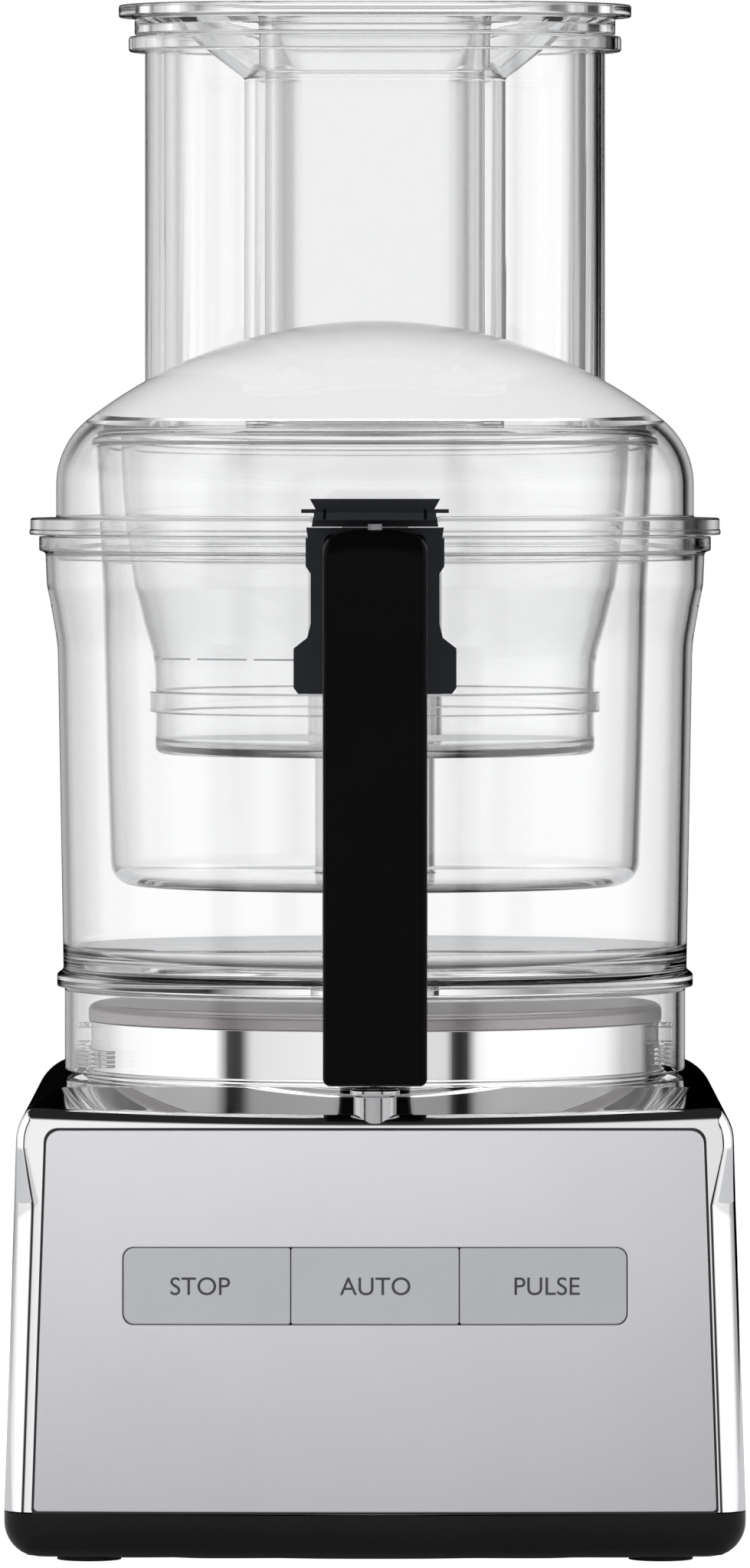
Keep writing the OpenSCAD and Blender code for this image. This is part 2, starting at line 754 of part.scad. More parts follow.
// The ramp inside the skirt that turns in under a locking lug.
module bayonet_ramp() {
    top = lug_z - 0.4;
    difference() {
        intersection() {
            pipe(skirt_r - bowl_wall + 0.5, collar_r + 0.6, skirt_foot_z + 1.6, top);
            rotate(-7) block([0, 0, 0], [skirt_r + 5, 60, 200]);
        }
        rotate(22) block([0, 0, 0], [skirt_r + 5, 90, 200]);
        for (i = [0:2]) pipe(skirt_r - bowl_wall - 1, collar_r, top - 1.5 - 1.3 * i, top - 1 - 1.3 * i);
    }
}

module handle_plate() color("darkslategray") {
    top = bowl_rim_z + 0.2;
    ring_in = bowl_r + bowl_rim_reach + gap;
    difference() {
        intersection() {
            pipe(arm_back - 0.1, ring_in, 200, top);
            rotate([90, 0, 0]) linear_extrude(200) polygon([
                [-19.4, top], [19.4, top], [19.4, top - 8], [18, top - 10], [18, top - 24], [19, top - 28],
                [22.8, top - 31], [22.8, top - 42], [21.5, top - 43.7],
                [-21.5, top - 43.7], [-22.8, top - 42],
                [-22.8, top - 31], [-19, top - 28], [-18, top - 24], [-18, top - 10], [-19.4, top - 8],
            ]);
        }
        front_block(9 + snug, bowl_rim_z - 23 - snug, bowl_rim_z - 8 + snug, 110, 80);
    }
}

module handle_side() {
    foot = handle_foot_z;
    top = handle_top_z;
    front = -handle_front;
    polygon(concat(
        [[-arm_back, top - 26], [-arm_back, top - 1.5], [-arm_back - 2, top]],
        arc([front + 8, top - 8], 8, 90, 180, 8),
        arc([front + 2.5, foot + 2.5], 2.5, 180, 270, 4),
        [[-arm_back - 4, foot], [-bowl_foot_r - 5.2, floor_z - 7.6], [-bowl_foot_r - 5.2, floor_z + 10.4],
         [-grip_back + 5, floor_z + 11.4]],
        arc([-grip_back + 6, floor_z + 17.4], 6, 270, 180, 6),
        arc([-grip_back + 6, top - 33], 6, 180, 90, 6)));
}

module bowl_handle() color("black") {
    difference() {
        rotate([90, 0, 90]) linear_extrude(handle_w, center = true) handle_side();
        translate([0, rod_y, 0]) disc(rod_r + 0.3, handle_foot_z - 1, handle_top_z + 1);
        translate([0, rod_y, 0]) disc(4.4, handle_top_z - 46, handle_top_z - 20);
        block([-9 - snug, -grip_back - cover_t - snug, cover_foot_z - snug],
              [9 + snug, -grip_back + 1, cover_top_z + snug]);
        at_cover_screws() translate([0, 0, -8]) cylinder(r = 1.6, h = 9);
    }
}

// The cover lies in the back of the grip, on the fingers' side, where it hides the rod's passage.
cover_t = 2;
cover_foot_z = floor_z + 24.5;
cover_top_z = handle_top_z - 59;

module at_cover_screws() {
    for (x = [-6, 6], z = [cover_foot_z + 5, cover_top_z - 5])
        translate([x, -grip_back, z]) rotate([-90, 0, 0]) children();
}

module handle_cover() color("black") {
    difference() {
        block([-9, -grip_back - cover_t, cover_foot_z], [9, -grip_back, cover_top_z]);
        at_cover_screws() {
            translate([0, 0, -cover_t - 1]) cylinder(r = 1.6, h = cover_t + 2);
            translate([0, 0, -1.2]) cylinder(r = 2.6, h = 2);
        }
    }
}

module handle_screws() color("dimgray") {
    at_cover_screws() {
        translate([0, 0, -7.5]) cylinder(r = 1.5, h = 6.5);
        translate([0, 0, -1.15]) cylinder(r = 2.5, h = 1);
    }
}

module safety_rod() color("lightgray") {
    translate([0, rod_y, 0]) {
        disc(rod_r, handle_foot_z - 0.1, rod_top_z);
        disc(4, handle_top_z - 25, handle_top_z - 23);
    }
}

module rod_spring() color("silver") {
    translate([0, rod_y, 0]) coil(3.2, 0.4, handle_top_z - 46, handle_top_z - 25.1, 7);
}

// ---- Inner bowls

midi_tube_bore = bowl_tube_r + 0.4;
midi_tube_r = midi_tube_bore + inner_tube_wall;
mini_tube_bore = midi_tube_r + 0.4;
mini_tube_r = mini_tube_bore + inner_tube_wall;
midi_tube_z = bowl_tube_z + gap + 2;
mini_tube_z = midi_tube_z + gap + 2;

function midi_outer() = concat(
    arc([midi_r - 11.1, midi_floor_z + 7], 7, 270, 360, 8),
    [[midi_r - 3, midi_floor_z + 35], [midi_r - 1.8, midi_rim_z - 42], [midi_r, midi_rim_z - 2]]);

module midi_bowl() color("azure", 0.4) {
    w = inner_bowl_wall;
    rotate_extrude() polygon(concat(
        [[midi_tube_bore + 0.5, midi_floor_z]], midi_outer(),
        [[midi_r + 1.5, midi_rim_z - 2], [midi_r + 1.5, midi_rim_z], [midi_r - w, midi_rim_z],
         [midi_r - 1.8 - w, midi_rim_z - 42], [midi_r - 3 - w, midi_floor_z + 35]],
        arc([midi_r - 11.1, midi_floor_z + 7], 7 - w, 360, 270, 8),
        [[midi_tube_bore + 0.5, midi_floor_z + w]]));
    pipe(midi_tube_r, midi_tube_bore, midi_floor_z, midi_tube_z);
    pipe(midi_tube_r, bowl_tube_bore, midi_tube_z - 2, midi_tube_z);
}

module mini_bowl() color("azure", 0.4) {
    w = inner_bowl_wall;
    rim = midi_rim_z + gap;
    foot = mini_foot_r;
    rotate_extrude() polygon([
        [mini_tube_bore + 0.5, mini_floor_z], [foot - 2, mini_floor_z], [foot, mini_floor_z + 2],
        [foot, mini_floor_z + 12], [foot + 1.6, mini_floor_z + 12], [foot + 1.6, mini_floor_z + 18],
        [foot, mini_floor_z + 18], [foot + 0.4, mini_floor_z + 27], [mini_r - 6.5, rim - 53],
        [mini_r - 3.9, rim - 42], [mini_r - 2, rim - 29], [mini_r - 0.6, rim - 15], [mini_r, rim],
        [midi_r, rim], [midi_r, rim + 1.7], [mini_r - w, rim + 1.7], [mini_r - w - 0.6, rim - 15],
        [mini_r - w - 2, rim - 29], [mini_r - w - 3.9, rim - 42], [mini_r - w - 6.5, rim - 53],
        [foot - w + 0.4, mini_floor_z + 27], [foot - w, mini_floor_z + 18], [foot - w, mini_floor_z + 4],
        [foot - w - 2, mini_floor_z + w], [mini_tube_bore + 0.5, mini_floor_z + w],
    ]);
    pipe(mini_tube_r, mini_tube_bore, mini_floor_z, mini_tube_z);
    pipe(mini_tube_r, bowl_tube_bore, mini_tube_z - 2, mini_tube_z);
}

// ---- Lid, feed tube and pushers

// The dome's section: a shoulder arc and the top arc that meets it smoothly, cut back by inset.
function dome_section(inset) =
    let (foot_z = bowl_rim_z + 14.7,
         a = dome_r - dome_shoulder_r,
         rise = dome_top_z - foot_z,
         top_r = (a * a + rise * rise - dome_shoulder_r * dome_shoulder_r) / (2 * (rise - dome_shoulder_r)),
         top_centre = [0, dome_top_z - top_r],
         meet = atan2(foot_z - top_centre[1], a))
    concat(arc([a, foot_z], dome_shoulder_r - inset, 0, meet, 10),
           arc(top_centre, top_r - inset, meet + 2, 90, 14));

function reversed(list) = [for (i = [len(list) - 1:-1:0]) list[i]];

module lid() color("aliceblue", 0.4) {
    under = bowl_rim_z + 0.4;
    skirt = bowl_r - bowl_wall - 0.9;
    skirt_foot = bowl_rim_z - 6.8;
    difference() {
        union() {
            rotate_extrude() polygon(concat(
                [[skirt - lid_wall + 0.4, skirt_foot], [skirt, skirt_foot], [skirt, under],
                 [lid_flange_r + 0.3, under], [lid_flange_r + 0.3, under + 1.4], [lid_flange_r, under + 1.4],
                 [lid_flange_r, under + 4.8], [dome_r - 0.3, under + 4.8]],
                dome_section(0), reversed(dome_section(lid_wall))));
            oval(tube_w, tube_d, tube_foot_z, tube_top_z);
            oval(tube_w + 2 * tube_rim, tube_d + 2 * tube_rim, tube_top_z - 4.5, tube_top_z);
        }
        oval(tube_w - 2 * tube_wall, tube_d - 2 * tube_wall, tube_foot_z - 40, tube_top_z + 1);
    }
}

module lid_tab() color("black") {
    z0 = bowl_rim_z + 5.3;
    outer = -rod_y + 5;
    back = dome_r - 11.5;
    difference() {
        union() {
            block([-17, -outer, z0], [17, -back, z0 + 2]);
            rotate([90, 0, 0]) translate([0, 0, back]) linear_extrude(24)
                polygon([[-16, z0 + 1.9], [16, z0 + 1.9], [18.2, z0 + 5.8], [-18.2, z0 + 5.8]]);
            block([-20.6, -back - 26, z0 + 1.9], [20.6, -back, z0 + 2.9]);
        }
        disc(dome_r + 0.2, z0 - 10, z0 + 10);
        for (side = [-1, 1])
            block([side * 14 - 0.4, -outer - 1, z0 - 1], [side * 14 + 0.4, -back - 20, z0 + 3]);
    }
}

module well(w, d, z0, z1) oval(w, d, z0, z1, well_corner_r);

module large_pusher() color("ghostwhite", 0.5) {
    w = pusher_wall;
    wall = 3;
    top_w = pusher_w - 2 * w - 2;
    top_d = pusher_d - 2 * w - 2;
    difference() {
        union() {
            oval(pusher_w, pusher_d, pusher_foot_z, flange_z);
            oval(tube_w + 6, tube_d + 6, tube_top_z + gap, flange_z);
            oval(tube_w + 15.2, tube_d + 15.2, flange_z, pusher_top_z);
        }
        difference() {
            oval(pusher_w - 2 * w, pusher_d - 2 * w, pusher_foot_z - 1, flange_z - 2);
            well(well_w + 2 * wall, well_d + 2 * wall, pusher_foot_z - 2, flange_z);
            hull() {
                well(well_w + 2 * wall, well_d + 2 * wall, well_top_z - 2, well_top_z - 1);
                oval(top_w + w, top_d + w, flange_z - 0.5, flange_z + 0.5);
            }
        }
        well(well_w, well_d, pusher_foot_z + 2.4, pusher_top_z + 1);
        well(well_w - 2 * ledge, well_d - 2 * ledge, pusher_foot_z - 1, pusher_foot_z + 3);
        hull() {
            well(well_w, well_d, well_top_z, well_top_z + 1);
            oval(top_w - 2, top_d - 2, flange_z + 0.5, flange_z + 1.5);
        }
        oval(top_w - 2, top_d - 2, flange_z + 1, pusher_top_z + 1);
    }
}

module small_pusher() color("gainsboro", 0.7) {
    z0 = pusher_foot_z + 2.4 + gap;
    z1 = flange_z - 0.4;
    body_w = well_w - 2 * small_gap - 3;
    body_d = well_d - 2 * small_gap - 3;
    collar_w = well_w - 2 * small_gap;
    collar_d = well_d - 2 * small_gap;
    difference() {
        union() {
            well(body_w, body_d, z0, z1);
            well(collar_w, collar_d, well_top_z + 1, z1);
            well(collar_w + 10, collar_d + 6, z1 - 1.6, z1);
        }
        well(body_w - 2 * pusher_wall, body_d - 2 * pusher_wall, z0 + 2.4, z1 + 1);
    }
}

housing_shell();
front_panel();
base_tray();
rubber_feet();
base_screws();
collar();
collar_cap();
locking_lugs();
shaft_seal();
interlock_boss();
interlock_plunger();
plunger_spring();
safety_switch();
switch_bracket();
stop_button();
auto_button();
pulse_button();
control_board();
button_switches();
board_screws();
power_inlet();
motor_lower_bell();
motor_upper_bell();
motor_stator();
motor_windings();
motor_bolts();
motor_mounts();
lower_bearing();
upper_bearing();
motor_rotor();
motor_shaft();
cooling_fan();
run_capacitor();
drive_spindle();
main_bowl();
handle_plate();
bowl_handle();
handle_cover();
handle_screws();
safety_rod();
rod_spring();
midi_bowl();
mini_bowl();
lid();
lid_tab();
large_pusher();
small_pusher();
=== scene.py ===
"""Food processor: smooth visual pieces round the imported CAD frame. Lengths are in millimetres unless said."""
import json
import math

import bmesh
import bpy
import numpy as np
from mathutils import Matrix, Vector
from mathutils.geometry import tessellate_polygon


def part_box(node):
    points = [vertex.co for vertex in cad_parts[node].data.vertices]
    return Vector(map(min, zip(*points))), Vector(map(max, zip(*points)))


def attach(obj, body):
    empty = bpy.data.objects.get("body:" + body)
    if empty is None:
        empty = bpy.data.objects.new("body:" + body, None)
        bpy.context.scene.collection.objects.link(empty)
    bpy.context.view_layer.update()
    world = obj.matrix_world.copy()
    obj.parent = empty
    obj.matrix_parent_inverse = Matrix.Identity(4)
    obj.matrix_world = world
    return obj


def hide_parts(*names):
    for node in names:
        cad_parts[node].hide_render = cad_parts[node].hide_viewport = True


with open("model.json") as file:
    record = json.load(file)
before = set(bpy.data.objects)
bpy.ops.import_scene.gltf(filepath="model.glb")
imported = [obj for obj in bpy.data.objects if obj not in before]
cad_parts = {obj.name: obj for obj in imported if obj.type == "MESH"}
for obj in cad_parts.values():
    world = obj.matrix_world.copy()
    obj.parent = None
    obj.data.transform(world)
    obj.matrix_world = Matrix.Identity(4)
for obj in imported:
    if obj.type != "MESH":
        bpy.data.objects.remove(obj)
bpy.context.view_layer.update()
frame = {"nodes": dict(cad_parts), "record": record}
NODES = frame["nodes"]
MM = 0.001


def low(node):
    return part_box(node)[0] / MM


def high(node):
    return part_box(node)[1] / MM


# ---- Sizes, from the CAD's nodes

HALF = high("housing_shell").x
TAPER = 3.4
FRONT = -low("housing_shell").y
BACK = high("housing_shell").y
DECK = high("housing_shell").z
TRAY_TOP = low("housing_shell").z
TRAY_FOOT = low("base_tray").z
COLLAR_R = high("collar").x
CAP = high("collar_cap").z
RIM = high("main_bowl").z
BOWL_R = high("main_bowl").x - 1.8
FLOOR = CAP + 5.3
BOW = 560.0
LEAN = math.radians(3)
FALL = math.tan(math.radians(9.7))
SHOULDER = 14.0
SHOULDER_Z = DECK - SHOULDER
KEY_Z = 78.2
KEY_W, KEY_H, KEY_CORNER = 46.8, 21.3, 3.0
DOME_TOP = RIM + 61.8
DOME_R = BOWL_R - 3.1
TUBE_TOP = high("lid").z
TUBE_Y = 30.0
TUBE_W, TUBE_D = 133.0, 70.8
HANDLE_FRONT = -low("bowl_handle").y
HANDLE_TOP = high("bowl_handle").z
HANDLE_FOOT = low("bowl_handle").z
HANDLE_HALF = high("bowl_handle").x
ROD_Y = -(HANDLE_FRONT - 11.5)


# ---- Mesh helpers

def unit(v):
    return v / np.maximum(np.linalg.norm(v, axis=-1, keepdims=True), 1e-12)


def rounded(points, steps=6):
    """A closed outline from corners (a, b, radius), with each corner rounded."""
    out = []
    n = len(points)
    for i, p in enumerate(points):
        a, b, c = (np.array(points[k % n][:2], float) for k in (i - 1, i, i + 1))
        radius = p[2] if len(p) > 2 else 0
        u, v = a - b, c - b
        lu, lv = np.linalg.norm(u), np.linalg.norm(v)
        u, v = u / lu, v / lv
        turn = math.acos(max(-1, min(1, float(u @ v))))
        if radius <= 0 or turn > math.pi - 0.02:
            out.append(b)
            continue
        reach = min(radius / math.tan(turn / 2), 0.49 * lu, 0.49 * lv)
        radius = reach * math.tan(turn / 2)
        centre = b + unit(u + v) * radius / math.sin(turn / 2)
        s, e = b + u * reach - centre, b + v * reach - centre
        sweep = math.atan2(s[0] * e[1] - s[1] * e[0], float(s @ e))
        count = max(2, int(steps * abs(sweep) / (math.pi / 2) + 0.5))
        for k in range(count + 1):
            t = sweep * k / count
            out.append(centre + np.array([s[0] * math.cos(t) - s[1] * math.sin(t),
                                          s[0] * math.sin(t) + s[1] * math.cos(t)]))
    return np.array(out)


def counter_clockwise(loop):
    """The loop, turned over if it runs clockwise."""
    loop = np.asarray(loop)
    x, y = loop[:, 0], loop[:, 1]
    return loop if float((x * np.roll(y, -1) - np.roll(x, -1) * y).sum()) >= 0 else loop[::-1]


def make(name, verts, faces):
    mesh = bpy.data.meshes.new(name)
    mesh.from_pydata([tuple(v) for v in np.asarray(verts) * MM], [], [list(map(int, f)) for f in faces])
    mesh.update()
    obj = bpy.data.objects.new(name, mesh)
    bpy.context.scene.collection.objects.link(obj)
    clean(obj)
    return obj


def clean(obj, merge=1e-7):
    bm = bmesh.new()
    bm.from_mesh(obj.data)
    bmesh.ops.remove_doubles(bm, verts=bm.verts, dist=merge)
    bmesh.ops.recalc_face_normals(bm, faces=bm.faces)
    bm.to_mesh(obj.data)
    bm.free()


def grid_faces(rows, columns, close_rows=True, close_columns=True):
    faces = []
    for i in range(rows if close_rows else rows - 1):
        for j in range(columns if close_columns else columns - 1):
            a, b = (i + 1) % rows, (j + 1) % columns
            faces.append((i * columns + j, a * columns + j, a * columns + b, i * columns + b))
    return faces


def revolve(name, profile, segments=240, centre=(0, 0)):
    """Turns a closed (radius, z) outline round an upright axis."""
    p = np.asarray(profile)
    angle = np.arange(segments) * 2 * math.pi / segments
    verts = np.stack([centre[0] + np.outer(np.cos(angle), p[:, 0]),
                      centre[1] + np.outer(np.sin(angle), p[:, 0]),
                      np.tile(p[:, 1], (segments, 1))], -1).reshape(-1, 3)
    return make(name, verts, grid_faces(segments, len(p)))


def sweep_rings(name, rings):
    """A closed body whose section is swept round: rings is a closed loop of closed rings."""
    verts = np.concatenate(rings)
    return make(name, verts, grid_faces(len(rings), len(rings[0])))


def ring(w, d, r, z, arc=14):
    """A rounded rectangle in plan, w by d, round the feed tube's centre."""
    r = min(r, w / 2 - 0.01, d / 2 - 0.01)
    out = []
    for k, (sx, sy) in enumerate(((1, 1), (-1, 1), (-1, -1), (1, -1))):
        for i in range(arc + 1):
            a = math.radians(90 * k + 90 * i / arc)
            out.append((sx * (w / 2 - r) + r * math.cos(a), TUBE_Y + sy * (d / 2 - r) + r * math.sin(a), z))
    return np.array(out)


def evaluated(obj):
    graph = bpy.context.evaluated_depsgraph_get()
    mesh = bpy.data.meshes.new_from_object(obj.evaluated_get(graph))
    obj.modifiers.clear()
    obj.data = mesh


def boolean(obj, cutter, operation="DIFFERENCE"):
    mod = obj.modifiers.new("cut", "BOOLEAN")
    mod.operation = operation
    mod.solver = "EXACT"
    mod.object = cutter
    evaluated(obj)
    bpy.data.objects.remove(cutter)


def join(name, objects):
    bm = bmesh.new()
    for o in objects:
        bm.from_mesh(o.data)
        bpy.data.objects.remove(o)
    mesh = bpy.data.meshes.new(name)
    bm.to_mesh(mesh)
    bm.free()
    obj = bpy.data.objects.new(name, mesh)
    bpy.context.scene.collection.objects.link(obj)
    return obj


def smooth(obj, angle=35):
    """Smooth shading that keeps large faces true and edges over the angle sharp."""
    obj.data.shade_smooth()
    obj.data.set_sharp_from_angle(angle=math.radians(angle))
    mod = obj.modifiers.new("normals", "WEIGHTED_NORMAL")
    mod.keep_sharp = True
    mod.weight = 60
    evaluated(obj)


def slab(outline, depth0, depth1, bevel=0.0, holes=(), steps=4):
    """Flat plate in X, Z with depth along Y: front at depth0 with a rounded edge, back at depth1."""
    loops = [np.asarray(outline)] + [np.asarray(h) for h in holes]
    verts, faces = [], []

    def inset(loop, amount, hole):
        a, b = np.roll(loop, 1, 0), np.roll(loop, -1, 0)
        e0, e1 = unit(loop - a), unit(b - loop)
        n0 = np.stack([-e0[:, 1], e0[:, 0]], -1)
        n1 = np.stack([-e1[:, 1], e1[:, 0]], -1)
        n = unit(n0 + n1)
        scale = 1 / np.maximum((n * n0).sum(-1, keepdims=True), 0.5)
        return loop + n * scale * (-amount if hole else amount)

    levels = [(0, depth0)]
    if bevel:
        turns = [math.pi / 2 * k / steps for k in range(steps + 1)]
        levels = [(bevel * (1 - math.sin(q)), depth0 + bevel * (1 - math.cos(q))) for q in turns]
    levels.append((0, depth1))
    ends = []
    for index, loop in enumerate(loops):
        loop = counter_clockwise(loop)
        base = len(verts)
        n = len(loop)
        for amount, depth in levels:
            for x, z in inset(loop, amount, index > 0):
                verts.append((x, depth, z))
        for k in range(len(levels) - 1):
            for i in range(n):
                j = (i + 1) % n
                near, far = base + k * n, base + (k + 1) * n
                faces.append((near + i, near + j, far + j, far + i))
        ends.append((base, base + (len(levels) - 1) * n, n))
    for which in (0, 1):
        groups = [[e[which] + i for i in range(e[2])] for e in ends]
        loops3 = [[Vector((verts[i][0], verts[i][2], 0)) for i in group] for group in groups]
        ids = [i for group in groups for i in group]
        faces += [tuple(ids[i] for i in t) for t in tessellate_polygon(loops3)]
    return verts, faces


def on_front(name, outline, out, thick, bevel=0.0, holes=(), step=4.0, steps=4):
    """A plate on the bowed, leaning front: X across, height up the face, out from the housing's face."""
    verts, faces = slab(outline, -out, thick - out, bevel, holes, steps)
    obj = make(name, verts, faces)
    bm = bmesh.new()
    bm.from_mesh(obj.data)
    x0 = min(v.co.x for v in bm.verts) / MM
    x1 = max(v.co.x for v in bm.verts) / MM
    count = int((x1 - x0) / step)
    for k in range(1, count):
        x = (x0 + (x1 - x0) * k / count) * MM
        everything = bm.verts[:] + bm.edges[:] + bm.faces[:]
        bmesh.ops.bisect_plane(bm, geom=everything, plane_co=(x, 0, 0), plane_no=(1, 0, 0))
    for v in bm.verts:
        v.co = place_on_front(v.co / MM) * MM
    bmesh.ops.recalc_face_normals(bm, faces=bm.faces)
    bm.to_mesh(obj.data)
    bm.free()
    return obj


def place_on_front(p):
    """From (across, depth behind the face, height up the face) to the row frame."""
    radius = BOW - p.y
    a = p.x / BOW
    x, y = radius * math.sin(a), BOW - radius * math.cos(a)
    return Vector((x, -FRONT + y * math.cos(LEAN) + p.z * math.sin(LEAN),
                   TRAY_TOP + p.z * math.cos(LEAN) - y * math.sin(LEAN)))


# ---- Rounded implicit bodies for the base

def meet(a, b, r):
    """Rounded intersection of two distance fields."""
    inside = np.minimum(-r, np.maximum(a, b))
    return inside + np.hypot(np.maximum(r + a, 0), np.maximum(r + b, 0))


def housing_field(p, inset):
    x, y, z = p[..., 0], p[..., 1], p[..., 2]
    t = np.clip((z - TRAY_TOP) / (SHOULDER_Z - TRAY_TOP), 0, 1)
    side = np.abs(x) - (HALF - TAPER * t)
    back = y - BACK
    c, s = math.cos(LEAN), math.sin(LEAN)
    depth = (y + FRONT) * c - (z - TRAY_TOP) * s  # behind the front face's foot, square to the face
    front = np.hypot(x, depth - BOW) - BOW
    fall = (z - DECK + np.maximum(0, -y - (COLLAR_R + 1.7)) * FALL) * math.cos(math.atan(FALL))
    box = meet(meet(side, back, 22.0), z - DECK, SHOULDER)
    box = np.maximum(box, meet(side, fall, 5.0))
    edge = 8.0 - 4.6 * np.clip((z - 100) / 16, 0, 1)
    return meet(box, front, edge) + inset


def tray_field(p, inset):
    x, y, z = p[..., 0], p[..., 1], p[..., 2]
    side = np.abs(x) - HALF
    back = y - BACK
    front = np.hypot(x, y + FRONT - BOW) - BOW
    plan = meet(meet(side, back, 22.0), front, 8.0)
    return meet(plan, TRAY_FOOT - z, 10.0) + inset


def march(field, origin, direction, inset, reach=200.0):
    near, far = np.zeros(len(origin)), np.full(len(origin), reach)
    for _ in range(48):
        mid = (near + far) / 2
        inside = field(origin + direction * mid[:, None], inset) < 0
        near, far = np.where(inside, mid, near), np.where(inside, far, mid)
    return origin + direction * near[:, None]


def plan_angles():
    """Directions in plan, closer together where the upright corners are."""
    angles = set(np.round(np.arange(0, 360, 1.5), 3))
    for x, y, spread, step in ((HALF - 2.3, 2.3 - FRONT + 9, 5, 0.25), (HALF - 6.4, BACK - 6.4, 11, 0.75)):
        for sx in (1, -1):
            a = math.degrees(math.atan2(y, sx * x)) % 360
            angles |= set(np.round((a + np.arange(-spread, spread + step / 2, step)) % 360, 3))
    angles = sorted(angles)
    kept = [angles[0]]
    for a in angles[1:]:
        if a - kept[-1] > 0.12:
            kept.append(a)
    return np.radians(kept)


def field_rows(field, inset, levels, centre_z, tilts):
    angles = plan_angles()
    flat = np.stack([np.cos(angles), np.sin(angles), np.zeros_like(angles)], -1)
    rows = []
    for z in levels:
        origin = np.tile([0.0, 0.0, z], (len(angles), 1))
        rows.append(march(field, origin, flat, inset))
    for tilt in tilts:
        origin = np.tile([0.0, 0.0, centre_z], (len(angles), 1))
        direction = flat * math.cos(tilt)
        direction[:, 2] = math.sin(tilt)
        rows.append(march(field, origin, direction, inset))
    return rows


def field_normals(obj, field, insets=(0.0,), tolerance=0.02):
    """Gives the faces that lie on the field its own smooth normals."""
    mesh = obj.data
    mesh.shade_smooth()
    loops = np.zeros(len(mesh.loops), int)
    mesh.loops.foreach_get("vertex_index", loops)
    co = np.zeros(len(mesh.vertices) * 3)
    mesh.vertices.foreach_get("co", co)
    co = co.reshape(-1, 3) / MM
    face = np.zeros(len(mesh.polygons) * 3)
    mesh.polygons.foreach_get("normal", face)
    face = face.reshape(-1, 3)
    totals = np.zeros(len(mesh.polygons), int)
    mesh.polygons.foreach_get("loop_total", totals)
    owner = np.repeat(np.arange(len(mesh.polygons)), totals)
    normals = face[owner]
    step = 0.02
    grad = np.stack([field(co + step * e, 0) - field(co - step * e, 0) for e in np.eye(3)], -1)
    grad = unit(grad)
    value = field(co, 0)
    for inset in insets:
        sign = 1 if inset == 0 else -1
        near = np.abs(value + inset) < tolerance
        chosen = near[loops] & ((grad[loops] * sign * normals).sum(-1) > 0.8)
        normals = np.where(chosen[:, None], grad[loops] * sign, normals)
    mesh.normals_split_custom_set([tuple(n) for n in normals])


def rectangle(x0, z0, x1, z1, left, right, steps=6):
    """An upright rectangle whose left and right corners have their own radii."""
    return rounded([(x0, z0, left), (x1, z0, right), (x1, z1, right), (x0, z1, left)], steps)


def key_outline(grow):
    """The window of the three keys, in the front's own frame."""
    w, h = 3 * KEY_W + 0.4 + 2 * grow, KEY_H + 2 * grow
    z = KEY_Z - TRAY_TOP
    return rectangle(-w / 2, z - h / 2, w / 2, z + h / 2, KEY_CORNER, KEY_CORNER)


def panel_outline(grow):
    """The satin panel, in the front's own frame."""
    foot, top = HALF - 7.6 + grow, HALF - TAPER - 7.8 + grow
    z0, z1 = 0.3 - grow, DECK - 9.6 - TRAY_TOP + grow
    return rounded([(-foot, z0, 1.2), (foot, z0, 1.2), (top, z1, 4), (-top, z1, 4)])


def box_mesh(name, lo, hi):
    x0, y0, z0 = lo
    x1, y1, z1 = hi
    verts = [(x, y, z) for x in (x0, x1) for y in (y0, y1) for z in (z0, z1)]
    sides = [(0, 1, 3, 2), (4, 5, 7, 6), (0, 1, 5, 4), (2, 3, 7, 6), (0, 2, 6, 4), (1, 3, 7, 5)]
    return make(name, verts, sides)


def housing():
    """The chrome housing: the rounded field's surface, with the openings cut out."""
    centre = 100.0
    tilt_end = [math.atan2(DECK - k - centre, 78.9) for k in (0.0, 3.0)]
    levels = [TRAY_TOP, TRAY_TOP + 0.4] + list(np.linspace(TRAY_TOP + 4, centre - 4, 14))
    outer = field_rows(housing_field, 0.0, levels, centre, np.linspace(0, tilt_end[0], 64))
    inner = field_rows(housing_field, 3.0, levels, centre, np.linspace(0, tilt_end[1], 30))
    rows = outer + inner[::-1]
    obj = sweep_rings("housing", rows)
    cutters = [on_front("c0", panel_outline(0.28), 6, 7.6), on_front("c1", key_outline(1.5), -1, 14)]
    angle = np.arange(40) * 2 * math.pi / 40
    holes = [rectangle(i * 9 - 2, 78, i * 9 + 2, 108, 1.9, 1.9) for i in range(-4, 5)]
    holes.append(np.stack([-60 + 6 * np.cos(angle), 34 + 6 * np.sin(angle)], -1))
    for outline in holes:
        verts, faces = slab(outline, BACK - 8, BACK + 4)
        cutters.append(make("c", verts, faces))
    for c in cutters:
        boolean(obj, c)
    field_normals(obj, housing_field, (0.0, 3.0))
    return obj


def tray():
    """The black tray under the housing."""
    centre = TRAY_TOP - 0.35
    tilts = -np.concatenate([np.linspace(0, math.radians(9), 26), np.radians([12, 18, 30, 50])])
    outer = field_rows(tray_field, 0.0, [centre], centre, tilts[1:])
    inner = field_rows(tray_field, 2.4, [centre], centre, tilts[1:])
    rows = outer[::-1] + inner
    n = len(rows[0])
    verts = np.concatenate(rows)
    faces = grid_faces(len(rows), n, close_rows=False)
    faces += [tuple(range(n)), tuple(range((len(rows) - 1) * n, len(rows) * n))]
    obj = make("tray", verts, faces)
    field_normals(obj, tray_field, (0.0, 2.4))
    return obj


# ---- Materials

def tree_of(name):
    mat = bpy.data.materials.new(name)
    mat.use_nodes = True
    tree = mat.node_tree
    shader = tree.nodes["Principled BSDF"]
    return mat, tree, shader


def link(tree, a, out, b, into):
    tree.links.new(a.outputs[out], b.inputs[into])


